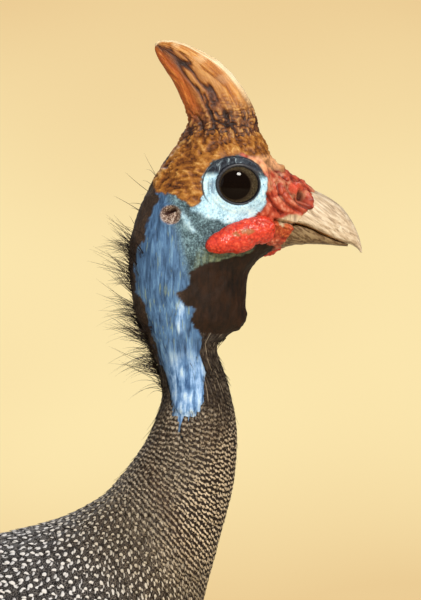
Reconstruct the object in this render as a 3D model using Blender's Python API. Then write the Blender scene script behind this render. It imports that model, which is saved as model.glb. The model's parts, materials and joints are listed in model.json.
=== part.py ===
"""A helmeted guinea fowl, standing alert on both feet, at life size, with one closed solid for each part of the bird.

The tables are in millimetres, measured from the middle of the eye: x runs forwards to the bill, y to the bird's
left and z up. An empty carries all parts to their place: z 0 is the floor, under the middle of the bird.
"""

import math

import bmesh
import bpy
import numpy as np
from mathutils import Matrix, Vector
from mathutils.bvhtree import BVHTree

MM = 0.001
GAP = 0.3

EYE_HEIGHT = 403.8
FLOOR = -EYE_HEIGHT

# A section runs from a point on the hind or back line to a point on the front or belly line of the bird.
# Its values are: back x, back z, front x, front z, half width, and how far up from the front it is widest.
BODY_SECTIONS = (
    (-268, -157, -262, -200, 24, 0.50),
    (-250, -141, -244, -219, 41, 0.50),
    (-221, -124, -212, -242, 57, 0.50),
    (-186, -112, -176, -259, 69, 0.50),
    (-148, -107.5, -134, -267, 74, 0.48),
    (-116, -108, -92, -265, 73, 0.46),
    (-94, -107.5, -54, -252, 68, 0.44),
    (-78, -105.6, -25, -230, 59, 0.42),
    (-66, -103, -11, -202, 48.5, 0.42),
    (-56, -100.3, -9.5, -174, 38, 0.42),
    (-47.5, -96.8, -12.6, -150, 29, 0.44),
    (-39.5, -91.8, -10.8, -128, 22, 0.46),
    (-32.5, -83.6, -6, -108.5, 17, 0.50),
    (-27.5, -76, -1.3, -90, 14, 0.50),
    (-24, -67.5, -0.2, -74, 12.2, 0.50),
    (-23, -61.2, -2.6, -60.5, 11.2, 0.50),
    (-25.8, -51.8, -6.3, -48.8, 10.8, 0.50),
    (-28.6, -44.5, -3.4, -45.2, 11, 0.60),
    (-30.3, -40, 0.9, -40.8, 11.4, 0.64),
    (-31.8, -33, 2.0, -34, 12.2, 0.64),
    (-32.7, -22.5, 2.8, -27.5, 13.0, 0.60),
    (-31.6, -13.5, 5.6, -23, 13.5, 0.56),
    (-28, -3.5, 8.6, -20.6, 13.6, 0.55),
    (-21.5, 7.8, 10.2, -19.7, 13.2, 0.55),
    (-13.5, 16.8, 11.2, -19.3, 12.6, 0.53),
    (-3, 18.3, 11.8, -19, 12.0, 0.50),
    (6.2, 15.3, 12.1, -18.9, 11.0, 0.48),
    (9.9, 8.4, 12.25, -18.87, 9.9, 0.48),
    (14.4, 4.6, 12.4, -18.85, 8.7, 0.48),
    (18.4, 2, 12.5, -18.82, 7.5, 0.48),
    (22, -1.2, 12.6, -18.8, 6.6, 0.46),
)
NECK_BASE, BARE_NECK, HEAD_START = 10, 15.4, 20.4
HEAD_END = len(BODY_SECTIONS) - 1

RUMP_SECTIONS = (
    (-268, -157, -262, -200, 24, 0.50),
    (-280, -172, -273, -207, 22, 0.48),
    (-292, -188, -286, -215, 18, 0.46),
    (-304, -204, -300, -223, 13, 0.45),
    (-314, -217, -312, -228, 8, 0.45),
    (-321, -228, -320, -231, 3, 0.45),
)
TAIL_ROOT, TAIL_AIM = (-262.0, -157.5), (-0.69, -0.724)
TAIL_LENGTH, TAIL_WIDTH, TAIL_STEP, ROOT_DEPTH = 102.0, 22.0, 0.95, 1.5
# Each pair of tail feathers: sideways start, half the angle between the two, share of the full length.
TAIL_PAIRS = (
    (1.2, 1.0, 1.0),
    (3.2, 3.2, 0.99),
    (5.2, 6.0, 0.975),
    (7.2, 9.0, 0.955),
    (9.2, 12.2, 0.93),
    (11.0, 15.6, 0.90),
)
# Two tiers of feathers that roof the tail's root: feathers, length, steps above the uppermost tail feather.
COVERT_TIERS = ((4, 50, 1.2), (3, 34, 4.2))

CROWN_FLAT = 15.0
CASQUE_SECTIONS = (
    (-16.2, CROWN_FLAT + GAP, 6.5, CROWN_FLAT + GAP, 6.6, 0.46),
    (-14.8, 19.0, 5.9, 19.5, 5.3, 0.46),
    (-15.9, 23.0, 4.3, 24.0, 4.8, 0.46),
    (-17.9, 27.8, 1.4, 29.5, 4.4, 0.45),
    (-20.2, 32.0, -3.6, 35.2, 3.8, 0.44),
    (-22.6, 35.9, -10.6, 40.1, 3.1, 0.42),
    (-24.3, 38.8, -17.5, 42.8, 2.3, 0.42),
    (-25.0, 40.8, -22.2, 43.4, 1.3, 0.45),
    (-24.9, 42.2, -23.9, 43.4, 0.7, 0.5),
)
UPPER_BILL_SECTIONS = (
    (22.2, -1.4, 16.65, -11.75, 6.2, 0.14),
    (26.6, -3.4, 20.7, -12.75, 5.6, 0.14),
    (31.4, -7.0, 25.3, -14.9, 4.6, 0.16),
    (34.5, -11.4, 29.7, -16.7, 3.3, 0.20),
    (36.3, -15.6, 33.5, -17.75, 1.9, 0.35),
    (37.05, -18.6, 35.6, -18.9, 0.9, 0.5),
    (37.2, -20.3, 36.8, -20.3, 0.25, 0.5),
)
LOWER_BILL_SECTIONS = (
    (16.3, -12.15, 12.85, -18.85, 5.6, 0.86),
    (20.5, -13.15, 17.4, -17.95, 4.9, 0.86),
    (25.0, -15.3, 22.8, -17.75, 3.8, 0.84),
    (29.3, -17.1, 28.2, -18.0, 2.3, 0.8),
    (33.0, -18.1, 32.9, -18.5, 0.8, 0.5),
)

EYE_AT, EYE_YAW = (0.0, 11.0, 0.0), math.radians(10)
EYE_RADII = (7.1, 3.3, 6.6)
LID_RADII, LID_THICK = (7.5, 7.0), 1.0
EAR_AT, EAR_RADII, EAR_RIM, EAR_DEPTH = (-20.5, -8.4), (2.9, 3.3), 0.7, 2.2
NOSTRIL_AT, NOSTRIL_RADII = (17.4, 6.6, -2.8), (2.5, 2.0, 2.2)
MOUTH_CORNER, MOUTH_FRONT, MOUTH_SLIT = (11.8, -11.1), (17.6, -12.0), 0.45
# Bulbs of one wattle: x, z, and how far each reaches along its length, out from the cheek and down.
WATTLE_TILT = math.radians(17)
WATTLE_BULBS = (
    (0.6, -15.2, 10.8, 3.2, 4.4),
    (-4.8, -17.2, 5.2, 3.1, 3.3),
    (1.0, -16.4, 5.0, 3.7, 4.1),
    (6.6, -13.6, 4.6, 3.5, 4.4),
)
# Folds of the rough skin round the horn and behind the eye: x, z, length, height and lean of each.
CROWN_FOLDS = (
    (-16.6, 4.6, 5.8, 2.4, 60),
    (-11.6, 9.2, 5.4, 2.3, 28),
    (-3.2, 11.0, 5.8, 2.0, 2),
)

FOOT_X, FOOT_Y, STRIDE = -140.0, 31.0, 7.0
PAD_RADIUS, PAD_HEIGHT = 7.0, 12.0
HOCK_BACK, HOCK_HEIGHT = 23.0, 86.0
SHANK_WIDTHS = ((0, 4.6), (0.12, 3.9), (0.5, 3.7), (0.85, 4.4), (1.0, 5.8))
THIGH_SECTIONS = (
    (0.0, 0, 5.6, 5.2),
    (0.10, 1, 7.5, 6.8),
    (0.35, 6, 14, 11),
    (0.65, 16, 24, 17),
    (1.0, 30, 33, 22),
)
THIGH_HEIGHT = 84.0
# Each toe: name, yaw from straight ahead towards the midline, sideways start, length, radius at its root.
TOES = (
    ("middle", 0, 0.0, 47.0, 3.6),
    ("inner", 33, 4.3, 34.0, 3.2),
    ("outer", -31, -4.3, 38.0, 3.2),
    ("hind", 172, 1.0, 16.0, 2.6),
)
CLAW_LENGTH, CLAW_DROP = 9.5, 2.0
SCUTES, SCUTE_PROUD = 9, 0.55

WING_FRONT, WING_REAR, WING_TIP, CORE_TIP = -52.0, -240.0, -292.0, -262.0
WING_EDGES = ((-292, 60, 80), (-240, 42, 92), (-180, 34, 103), (-120, 38, 106), (-80, 52, 98), (-52, 72, 84))
CORE_THICK = 1.9
FLANK_TAPER, FLANK_FALL = 0.22, 0.40
VANE_THICK = 0.6
# Each tier of the wing: place of the roots, feathers, length of the uppermost and the lowest one, root and rise.
WING_TIERS = (
    (-62, 3, 28, 28, 3.8, 2.2),
    (-79, 4, 32, 30, 3.9, 2.6),
    (-97, 5, 36, 32, 3.9, 2.8),
    (-116, 5, 41, 37, 3.9, 3.0),
    (-137, 5, 48, 44, 3.9, 3.0),
    (-160, 6, 98, 76, 3.9, 2.2),
)
VANE_OVERLAP, VANE_ROLL, VANE_SINK = 1.34, 1.05, 2.4
# The tips of the long outer feathers, below the tiers: root, share of the way down, length, width, lift, rise.
LONG_FEATHERS = (
    (-206, 0.42, 84, 16, 3.3, 0.3),
    (-200, 0.68, 80, 16, 2.9, 0.2),
)
# Shares of a vane's length, and of its width there.
VANE_OUTLINE = ((0, 0.42), (0.45, 1.0), (0.84, 0.84), (1.0, 0.28))
LONG_OUTLINE = ((0, 0.42), (0.22, 0.85), (0.44, 1.0), (0.66, 1.0), (0.87, 0.82), (1.0, 0.28))
LOCK_ROWS, LOCK_WIDTH = 8, 2.3

def new_material(name, colour, roughness, metallic=0.0):
    material = bpy.data.materials.new(name)
    material.use_nodes = True
    shader = material.node_tree.nodes["Principled BSDF"]
    shader.inputs["Base Color"].default_value = (*colour, 1)
    shader.inputs["Roughness"].default_value = roughness
    shader.inputs["Metallic"].default_value = metallic
    return material


def new_object(name, points, faces, material=None):
    """A mesh object from points in millimetres, its faces turned outwards."""
    mesh = bpy.data.meshes.new(name)
    mesh.from_pydata([tuple(p) for p in np.asarray(points, float) * MM], [], [tuple(f) for f in faces])
    shape = bmesh.new()
    shape.from_mesh(mesh)
    bmesh.ops.recalc_face_normals(shape, faces=shape.faces)
    shape.to_mesh(mesh)
    shape.free()
    made = bpy.data.objects.new(name, mesh)
    bpy.context.scene.collection.objects.link(made)
    if material:
        mesh.materials.append(material)
    return made


def spline(table, places):
    """Rows of a table at fractional places, on a Catmull-Rom spline through its rows."""
    rows = np.asarray(table, float)
    places = np.clip(np.atleast_1d(np.asarray(places, float)), 0, len(rows) - 1)
    first = np.minimum(places.astype(int), len(rows) - 2)
    share = (places - first)[:, None]
    padded = np.vstack([2 * rows[0] - rows[1], rows, 2 * rows[-1] - rows[-2]])
    a, b, c, d = (padded[first + k] for k in range(4))
    return b + 0.5 * share * (c - a + share * (2 * a - 5 * b + 4 * c - d + share * (3 * (b - c) + d - a)))


def ring(section, angles, grow=0.0):
    """Points round a section. Angle 0 is its back point and pi its front point; angles up to pi are on the left."""
    back, front = np.array(section[0:2]), np.array(section[2:4])
    height = np.linalg.norm(back - front)
    up = (back - front) / height
    middle = front + up * height * section[5]
    along = np.cos(angles)
    reach = along * (np.where(along > 0, 1 - section[5], section[5]) * height + grow)
    return np.column_stack(
        [middle[0] + up[0] * reach, (section[4] + grow) * np.sin(angles), middle[1] + up[1] * reach]
    )


def shifted(points, distance):
    """A flat ring moved by a distance along its own normal, towards the head."""
    middle = points.mean(axis=0)
    normal = np.cross(points[1] - points[0], points[len(points) // 2] - points[0])
    normal[1] = 0
    normal /= np.linalg.norm(normal)
    if normal @ (np.array([1, 0, 1]) if abs(normal[0] + normal[2]) > 0.1 else np.array([1, 0, 0])) < 0:
        normal = -normal
    return points + normal * distance + 0 * middle


def tube_faces(rings, around):
    """Quads between rings of points, and a flat cap at each end."""
    faces = [
        (i * around + k, i * around + (k + 1) % around, (i + 1) * around + (k + 1) % around, (i + 1) * around + k)
        for i in range(rings - 1)
        for k in range(around)
    ]
    last = (rings - 1) * around
    return faces + [tuple(range(around)), tuple(range(last, last + around))]


def loft(name, rings, material=None):
    around = len(rings[0])
    return new_object(name, np.vstack(rings), tube_faces(len(rings), around), material)


def sections_of(table, start, end, count, around, grow=0.0, near=0.0, far=0.0):
    """Rings along a table of sections; near and far shorten its two ends, which leaves the gap to its neighbours."""
    angles = np.linspace(0, 2 * math.pi, around, endpoint=False)
    rings = [ring(row, angles, grow) for row in spline(table, np.linspace(start, end, count))]
    step = rings[1].mean(axis=0) - rings[0].mean(axis=0)
    rings[0] = rings[0] + step / np.linalg.norm(step) * near
    step = rings[-1].mean(axis=0) - rings[-2].mean(axis=0)
    rings[-1] = rings[-1] - step / np.linalg.norm(step) * far
    return rings


def ellipsoid(name, centre, radii, turn=None, rings=12, around=18, material=None):
    """A closed ellipsoid, its poles along y, turned by a matrix about its centre."""
    points = [(0, -radii[1], 0)]
    for i in range(1, rings):
        polar = math.pi * i / rings
        for k in range(around):
            angle = 2 * math.pi * k / around
            points.append(
                (
                    radii[0] * math.sin(polar) * math.cos(angle),
                    -radii[1] * math.cos(polar),
                    radii[2] * math.sin(polar) * math.sin(angle),
                )
            )
    points.append((0, radii[1], 0))
    last = len(points) - 1
    faces = [(0, 1 + (k + 1) % around, 1 + k) for k in range(around)]
    for i in range(rings - 2):
        a, b = 1 + i * around, 1 + (i + 1) * around
        faces += [(a + k, a + (k + 1) % around, b + (k + 1) % around, b + k) for k in range(around)]
    a = 1 + (rings - 2) * around
    faces += [(last, a + k, a + (k + 1) % around) for k in range(around)]
    turned = [Vector(centre) + (turn @ Vector(p) if turn else Vector(p)) for p in points]
    return new_object(name, turned, faces, material)


def box(name, centre, sides, turn=None):
    corners = [(x, y, z) for x in (-0.5, 0.5) for y in (-0.5, 0.5) for z in (-0.5, 0.5)]
    points = [Vector(s * c for s, c in zip(sides, corner)) for corner in corners]
    faces = [(0, 1, 3, 2), (4, 6, 7, 5), (0, 4, 5, 1), (2, 3, 7, 6), (0, 2, 6, 4), (1, 5, 7, 3)]
    return new_object(name, [Vector(centre) + (turn @ p if turn else p) for p in points], faces)


def apply_boolean(target, others, operation, solver="EXACT"):
    """Joins or cuts the target with other closed meshes, applies that, and removes them."""
    tools = bpy.data.collections.new("tools")
    bpy.context.scene.collection.children.link(tools)
    for other in others:
        bpy.context.scene.collection.objects.unlink(other)
        tools.objects.link(other)
    step = target.modifiers.new(operation.lower(), "BOOLEAN")
    step.operation = operation
    step.operand_type = "COLLECTION"
    step.collection = tools
    step.solver = solver
    graph = bpy.context.evaluated_depsgraph_get()
    done = bpy.data.meshes.new_from_object(target.evaluated_get(graph))
    target.modifiers.clear()
    target.data = done
    for other in list(tools.objects):
        bpy.data.objects.remove(other)
    bpy.data.collections.remove(tools)
    keep_largest(target)
    return target


def keep_largest(target):
    """Keeps the largest closed surface of a mesh, which drops loose scraps and fills sealed hollows."""
    shape = bmesh.new()
    shape.from_mesh(target.data)
    left, groups = set(shape.verts), []
    while left:
        group, edge = set(), [left.pop()]
        while edge:
            vertex = edge.pop()
            group.add(vertex)
            for link in vertex.link_edges:
                other = link.other_vert(vertex)
                if other in left:
                    left.discard(other)
                    edge.append(other)
        groups.append(group)
    biggest = max(groups, key=len)
    bmesh.ops.delete(shape, geom=[v for group in groups if group is not biggest for v in group], context="VERTS")
    shape.to_mesh(target.data)
    shape.free()


def smooth(made, angle=40):
    made.data.shade_smooth()
    made.data.set_sharp_from_angle(angle=math.radians(angle))
    return made


def both_sides(points, side):
    """Points made for the left side, mirrored to the right where side is -1."""
    return [(x, side * y, z) for x, y, z in points]


def turned_about_z(angle):
    return Matrix.Rotation(angle, 3, "Z")


def make_torso(material, grow=0.0, name="torso"):
    rings = sections_of(BODY_SECTIONS, 0, NECK_BASE, 22, 28, grow, far=0 if grow else GAP / 2)
    return smooth(loft(name, rings, material))


def make_neck(name, start, end, count, around, material):
    rings = sections_of(BODY_SECTIONS, start, end, count, around, near=GAP / 2, far=GAP / 2)
    return smooth(loft(name, rings, material))


def skin_tree(start, end):
    """The smooth skin of head and neck, to find the points where small forms are set on it."""
    rings = sections_of(BODY_SECTIONS, start, end, 90, 72)
    return BVHTree.FromPolygons([tuple(p) for p in np.vstack(rings)], tube_faces(len(rings), 72))


def on_skin(tree, x, z, side):
    """The point of the skin at a side view's x and z, or None past its outline."""
    point, _, _, _ = tree.ray_cast(Vector((x, side * 90, z)), Vector((0, -side, 0)))
    return point


def ring_on_skin(tree, centre, radii, thick, side, around, tube):
    """A closed ring that lies half sunk on the skin, as a lid's edge or the rim of the ear."""
    points = []
    for k in range(around):
        turn = 2 * math.pi * k / around
        out = Vector((math.cos(turn), 0, math.sin(turn)))
        x, z = centre[0] + radii[0] * out.x, centre[1] + radii[1] * out.z
        point = on_skin(tree, x, z, side) or Vector((x, side * 9, z))
        for j in range(tube):
            roll = 2 * math.pi * j / tube
            points.append(tuple(point + thick * (out * math.cos(roll) + Vector((0, side * math.sin(roll), 0)))))
    faces = [
        (
            i * tube + j,
            i * tube + (j + 1) % tube,
            ((i + 1) % around) * tube + (j + 1) % tube,
            ((i + 1) % around) * tube + j,
        )
        for i in range(around)
        for j in range(tube)
    ]
    return new_object("ring", points, faces)


def make_head(material):
    """Skull, face and cere, with the lids, ear cups, nostrils, crown folds and the corner of the mouth."""
    tree = skin_tree(HEAD_START - 1, HEAD_END)
    head = loft("head", sections_of(BODY_SECTIONS, HEAD_START, HEAD_END, 20, 22, near=GAP / 2), material)
    added, cuts = [], [box("crown cut", (-5, 0, CROWN_FLAT + 10), (60, 40, 20))]
    run = np.subtract(MOUTH_FRONT, MOUTH_CORNER)
    middle = np.add(MOUTH_FRONT, MOUTH_CORNER) / 2
    tilt = Matrix.Rotation(-math.atan2(run[1], run[0]), 3, "Y")
    cuts.append(box("mouth cut", (middle[0], 0, middle[1]), (np.linalg.norm(run), 40, MOUTH_SLIT), tilt))
    for side in (1, -1):
        added.append(ring_on_skin(tree, (EYE_AT[0], EYE_AT[2]), LID_RADII, LID_THICK, side, 16, 5))
        added.append(ring_on_skin(tree, EAR_AT, EAR_RADII, EAR_RIM, side, 8, 4))
        for x, z, length, height, lean in CROWN_FOLDS:
            turn = Matrix.Rotation(-math.radians(lean), 3, "Y")
            added.append(
                ellipsoid("fold", on_skin(tree, x, z, side), (length, 1.3, height), turn, 4, 8)
            )
        socket = [r + GAP for r in EYE_RADII]
        cuts.append(ellipsoid("socket cut", both_sides([EYE_AT], side)[0], socket, turned_about_z(-side * EYE_YAW), 8, 16))
        ear = on_skin(tree, *EAR_AT, side) + Vector((0, side * 0.6, 0))
        cuts.append(ellipsoid("ear cut", ear, (EAR_RADII[0] - 0.5, EAR_DEPTH, EAR_RADII[1] - 0.5), None, 4, 8))
        cuts.append(ellipsoid("nostril cut", both_sides([NOSTRIL_AT], side)[0], NOSTRIL_RADII, None, 4, 8))
    apply_boolean(head, added, "UNION")
    apply_boolean(head, cuts, "DIFFERENCE")
    return smooth(head)


def make_eye(side, material):
    name = "eye_left" if side > 0 else "eye_right"
    yaw = turned_about_z(-side * EYE_YAW)
    return smooth(ellipsoid(name, both_sides([EYE_AT], side)[0], EYE_RADII, yaw, 8, 14, material))


def make_wattle(side, material):
    """A fleshy lobe of several bulbs that hangs from the corner of the mouth, shaped to the cheek it lies on."""
    name = "wattle_left" if side > 0 else "wattle_right"
    tree = skin_tree(HEAD_START - 1, HEAD_END)
    tilt = Matrix.Rotation(-WATTLE_TILT, 3, "Y")
    bulbs = []
    for x, z, length, out, down in WATTLE_BULBS:
        at = on_skin(tree, x, z, side)
        bulbs.append(ellipsoid("bulb", at + Vector((0, side * 0.4, 0)), (length, out, down), tilt, 5, 9))
    lobe = bulbs[0]
    lobe.name = name
    lobe.data.materials.append(material)
    apply_boolean(lobe, bulbs[1:], "UNION")
    cheek = loft("cheek", sections_of(BODY_SECTIONS, HEAD_START - 1, HEAD_END, 24, 30, grow=GAP + 0.15))
    bill = loft("bill", sections_of(LOWER_BILL_SECTIONS, 0, 2, 8, 14, grow=GAP + 0.15))
    apply_boolean(lobe, [cheek, bill], "DIFFERENCE")
    return smooth(lobe)


def make_bare_neck(material):
    """The bare neck with its bristly locks, which stand back from the nape and grow thicker lower down."""
    neck = make_neck("neck_bare", BARE_NECK, HEAD_START, 11, 20, material)
    draw = np.random.default_rng(7)
    locks = []
    for row in range(LOCK_ROWS):
        share = (row + 0.35) / LOCK_ROWS
        place = HEAD_START - 0.25 - (HEAD_START - BARE_NECK - 0.55) * share
        count = 3 + (row > 3)
        for k in range(count):
            angle = math.radians(((k + 0.5) / count - 0.5) * 76 + draw.uniform(-6, 6) + 8 * (row % 2))
            root, out = section_point(place + draw.uniform(-0.1, 0.1), angle)
            length = 8 + 9 * share * draw.uniform(0.8, 1.15)
            lean = 0.55 - 0.75 * share + draw.uniform(-0.15, 0.15)
            locks.append(nape_lock(root, out, length, lean))
    return smooth(apply_boolean(neck, locks, "UNION"))


def section_point(place, angle):
    """A point on the body's surface and the way out from it."""
    row = spline(BODY_SECTIONS, place)[0]
    near, far = ring(row, np.array([angle]))[0], ring(row, np.array([angle]), 1.0)[0]
    return Vector(near), Vector(far - near).normalized()


def nape_lock(root, out, length, lean):
    """A flat tapered lock: it leaves the skin slanting back and bends with its lean, up where that is above zero."""
    aim = (out * 0.75 + Vector((-0.35, 0, lean))).normalized()
    bend = Vector((-0.1, 0, 0.45 if lean > 0 else 0.15))
    across = aim.cross(Vector((0, 1, 0))).cross(aim).normalized()
    flat = aim.cross(across).normalized()
    points = []
    for share, wide in ((-0.1, 1.0), (0.45, 0.85), (1.0, 0.14)):
        middle = root + aim * (length * share) + bend * (length * max(share, 0) ** 2 * 0.5)
        half = across * (LOCK_WIDTH * 0.5 * wide)
        depth = flat * (0.38 * (0.35 + 0.65 * wide))
        points += [tuple(middle + half), tuple(middle + depth), tuple(middle - half), tuple(middle - depth)]
    faces = tube_faces(3, 4)
    return new_object("lock", points, faces)


def shank_points(side):
    """The foot joint and the hock of one leg."""
    foot = Vector((FOOT_X - side * STRIDE, side * FOOT_Y, FLOOR + PAD_HEIGHT * 0.6))
    hock = foot + Vector((-HOCK_BACK, side * 1.5, HOCK_HEIGHT - PAD_HEIGHT * 0.6))
    return foot, hock


def disc(centre, axis, across, width, depth, around):
    """A ring of points round a centre, flat on an axis; width is along across and depth the other way."""
    axis = Vector(axis).normalized()
    across = (Vector(across) - axis * axis.dot(Vector(across))).normalized()
    other = axis.cross(across)
    return np.array(
        [
            tuple(
                Vector(centre)
                + across * width * math.cos(2 * math.pi * k / around)
                + other * depth * math.sin(2 * math.pi * k / around)
            )
            for k in range(around)
        ]
    )


def pad(side, grow=0.0, name="pad"):
    """The pad under the joint of the toes, flat on the floor."""
    foot, _ = shank_points(side)
    levels = ((0, 0.8), (0.15, 1.0), (0.6, 0.95), (1.0, 0.5))
    rings = []
    for share, wide in levels:
        radius = PAD_RADIUS * wide + grow
        height = FLOOR + share * (PAD_HEIGHT + grow) - (grow if share == 0 else 0)
        rings.append(disc((foot.x, foot.y, height), (0, 0, 1), (1, 0, 0), radius, radius * 0.95, 12))
    return loft(name, rings)


def make_shank(side, material):
    """The shank from the hock to the pad of the foot, with a row of raised plates down its front."""
    name = "shank_left" if side > 0 else "shank_right"
    foot, hock = shank_points(side)
    axis = hock - foot
    rings = []
    shares = [0.0, 0.05]
    for k in range(SCUTES):
        low = 0.07 + 0.86 * k / SCUTES
        shares += [low, low + 0.86 / SCUTES - 0.006]
    shares += [0.96, 1.0]
    for k, share in enumerate(shares):
        width = np.interp(share, *zip(*SHANK_WIDTHS))
        points = disc(foot + axis * share, axis, (1, 0, 0), width * 1.15, width * 0.9, 8)
        on_plate = 2 <= k < len(shares) - 2
        proud = (SCUTE_PROUD if k % 2 else 0.0) if on_plate else 0.0
        middle = np.array(foot + axis * share)
        ahead = np.clip((points[:, 0] - middle[0]) / (width * 1.15), 0, 1)
        points += (points - middle) / width * (ahead * proud)[:, None]
        rings.append(points)
    shank = loft(name, rings, material)
    apply_boolean(shank, [pad(side)], "UNION")
    return smooth(shank, 25)


def make_thigh(side, material):
    """The feathered drumstick, from the hock up to the belly that it meets."""
    name = "thigh_left" if side > 0 else "thigh_right"
    foot, hock = shank_points(side)
    axis = (hock - foot).normalized()
    base = hock + axis * GAP
    rings = [disc(base, axis, (1, 0, 0), THIGH_SECTIONS[0][2], THIGH_SECTIONS[0][3], 20)]
    for share, ahead, depth, width in THIGH_SECTIONS[1:]:
        middle = base + Vector((ahead, -side * ahead * 0.1, share * THIGH_HEIGHT))
        rings.append(disc(middle, (0.25, 0, 1), (1, 0, 0), depth, width, 20))
    thigh = loft(name, rings, material)
    apply_boolean(thigh, [make_torso(None, GAP + 0.1, "belly")], "DIFFERENCE")
    return smooth(thigh)


def toe_path(side, toe):
    """The start, direction and end height of one toe."""
    _, yaw, sideways, length, _ = toe
    foot, _ = shank_points(side)
    turn = math.radians(-side * yaw)
    start = Vector((foot.x, foot.y - side * sideways, FLOOR))
    return start, Vector((math.cos(turn), math.sin(turn), 0)), length


def make_toe(side, toe, material):
    """A toe with its pads, flat where it stands on the floor; its root is shaped to the pad of the foot."""
    label, _, _, _, radius = toe
    start, ahead, length = toe_path(side, toe)
    rise = 7.0 if label == "hind" else 1.5
    across = Vector((-ahead.y, ahead.x, 0))
    rings = []
    for share in np.linspace(0, 1, 8):
        thick = radius * (1 - 0.32 * share) * (1 + 0.07 * math.cos(share * 7 * math.pi))
        height = FLOOR + thick * 0.86 + rise * (1 - share) ** 2
        points = disc(start + ahead * (length * share), ahead, across, thick, thick, 8)
        points[:, 2] = np.maximum(points[:, 2] - FLOOR + height, FLOOR)
        rings.append(points)
    name = f"toe_{'left' if side > 0 else 'right'}_{label}"
    made = loft(name, rings, material)
    apply_boolean(made, [pad(side, GAP, "pad cut"), shank_cut(side)], "DIFFERENCE")
    return smooth(made)


def shank_cut(side):
    foot, hock = shank_points(side)
    axis = hock - foot
    rings = [disc(foot + axis * s, axis, (1, 0, 0), 4.6 * 1.15 + GAP, 4.6 * 0.9 + GAP, 8) for s in (-0.02, 0.3)]
    return loft("shank cut", rings)


def make_claw(side, toe, material):
    """A curved claw, from the end of its toe down to just above the floor."""
    label, _, _, _, radius = toe
    start, ahead, length = toe_path(side, toe)
    thick = radius * 0.68 * 1.07
    rings = []
    for share in np.linspace(0, 1, 5):
        size = thick * 0.86 * (1 - share) ** 0.7 + 0.25
        centre = start + ahead * (length + GAP + CLAW_LENGTH * (1 - 0.3 * (label == "hind")) * share)
        centre.z = FLOOR + thick * 0.9 - (thick * 0.9 - 0.5) * share**CLAW_DROP
        axis = ahead + Vector((0, 0, -0.55 * share))
        points = disc(centre, axis, (0, 0, 1), size, size * 0.8, 6)
        points[:, 2] = np.maximum(points[:, 2], FLOOR + 0.1)
        rings.append(points)
    return smooth(loft(f"claw_{'left' if side > 0 else 'right'}_{label}", rings, material))


FLANK_PLACES = np.linspace(0, NECK_BASE, 200)
FLANK_ROWS = spline(BODY_SECTIONS, FLANK_PLACES)
FLANK_X = FLANK_ROWS[:, 2] + (FLANK_ROWS[:, 0] - FLANK_ROWS[:, 2]) * FLANK_ROWS[:, 5]


def flank(x, angle, lift, side):
    """A point over the body's side: x along the body, angle down from the back line, lift out from the plumage.

    Behind the wing's rear the surface runs straight on, drawing in and falling gently, as stiff feathers do.
    """
    beyond = min(x - WING_REAR, 0)
    place = np.interp(max(x, WING_REAR), FLANK_X, FLANK_PLACES)
    point = ring(spline(BODY_SECTIONS, place)[0], np.array([angle]), lift)[0]
    point = point + np.array([beyond, beyond * FLANK_TAPER, beyond * FLANK_FALL])
    return np.array([point[0], point[1] * side, point[2]])


def wing_angle(x, share):
    """The angle at which a share of the way down the wing lies, from its upper edge to its lower one."""
    edges = np.array(WING_EDGES, float)
    top, low = (math.radians(np.interp(x, edges[:, 0], edges[:, k])) for k in (1, 2))
    return top + (low - top) * share


def wing_arc(x):
    """The length of the wing from its upper edge to its lower one, at a place along the body."""
    points = np.array([flank(x, wing_angle(x, share), 3, 1) for share in np.linspace(0, 1, 7)])
    return np.linalg.norm(np.diff(points, axis=0), axis=1).sum()


def wing_vane(side, x, share, length, width, lift, rise, sink=VANE_SINK, narrows=False):
    """A feather of the wing. Its upper edge tucks under the feather above it, and its tip lies over the next tier."""
    upper, under = [], []
    outline = LONG_OUTLINE if length > 60 else VANE_OUTLINE
    full = wing_arc(x - length * 0.45)
    for along, wide in outline:
        here = x - length * along
        middle = wing_angle(here, share)
        step = flank(here, middle + 0.01, 0, side) - flank(here, middle, 0, side)
        reach = 0.5 * width * wide * (wing_arc(here) / full if narrows else 1)
        for column in (-1, 1):
            angle = middle + column * reach / (np.linalg.norm(step) * 100)
            height = lift + rise * along + VANE_ROLL * column * wide - sink * (along == 0)
            upper.append(flank(here, angle, height, side))
            under.append(flank(here, angle, height - VANE_THICK, side))
    return slab("vane", under, upper, len(outline), 2)


def make_wing(side, material):
    """The folded wing: a thin core on the flank that carries tiers of overlapping feathers."""
    name = "wing_left" if side > 0 else "wing_right"
    stations = np.linspace(CORE_TIP, WING_FRONT, 15)
    across = 7
    outer, inner = [], []
    for x in stations:
        near_end = min((WING_FRONT - x) / 18, (x - CORE_TIP) / 30, 1)
        for j in range(across + 1):
            angle = wing_angle(x, 0.04 + 0.92 * j / across)
            edge = 0.35 if j in (0, across) else 1.0
            inner.append(flank(x, angle, GAP + 0.25, side))
            outer.append(flank(x, angle, GAP + 0.95 + (CORE_THICK - 0.7) * min(edge, 0.2 + 0.8 * near_end), side))
    wing = slab(name, inner, outer, len(stations), across + 1, material)
    vanes = []
    for tier, (x, count, upper_length, lower_length, lift, rise) in enumerate(WING_TIERS):
        for k in range(count):
            share = 0.03 + 0.94 * (k + 0.5 + 0.18 * (-1) ** tier) / count
            length = upper_length + (lower_length - upper_length) * share
            width = VANE_OVERLAP * wing_arc(x - length * 0.45) / count
            vanes.append(wing_vane(side, x - 2 * abs(share - 0.4), share, length, width, lift, rise, narrows=True))
    vanes += [wing_vane(side, *row, sink=VANE_SINK / 2) for row in LONG_FEATHERS]
    return smooth(apply_boolean(wing, vanes, "UNION"), 30)


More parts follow.
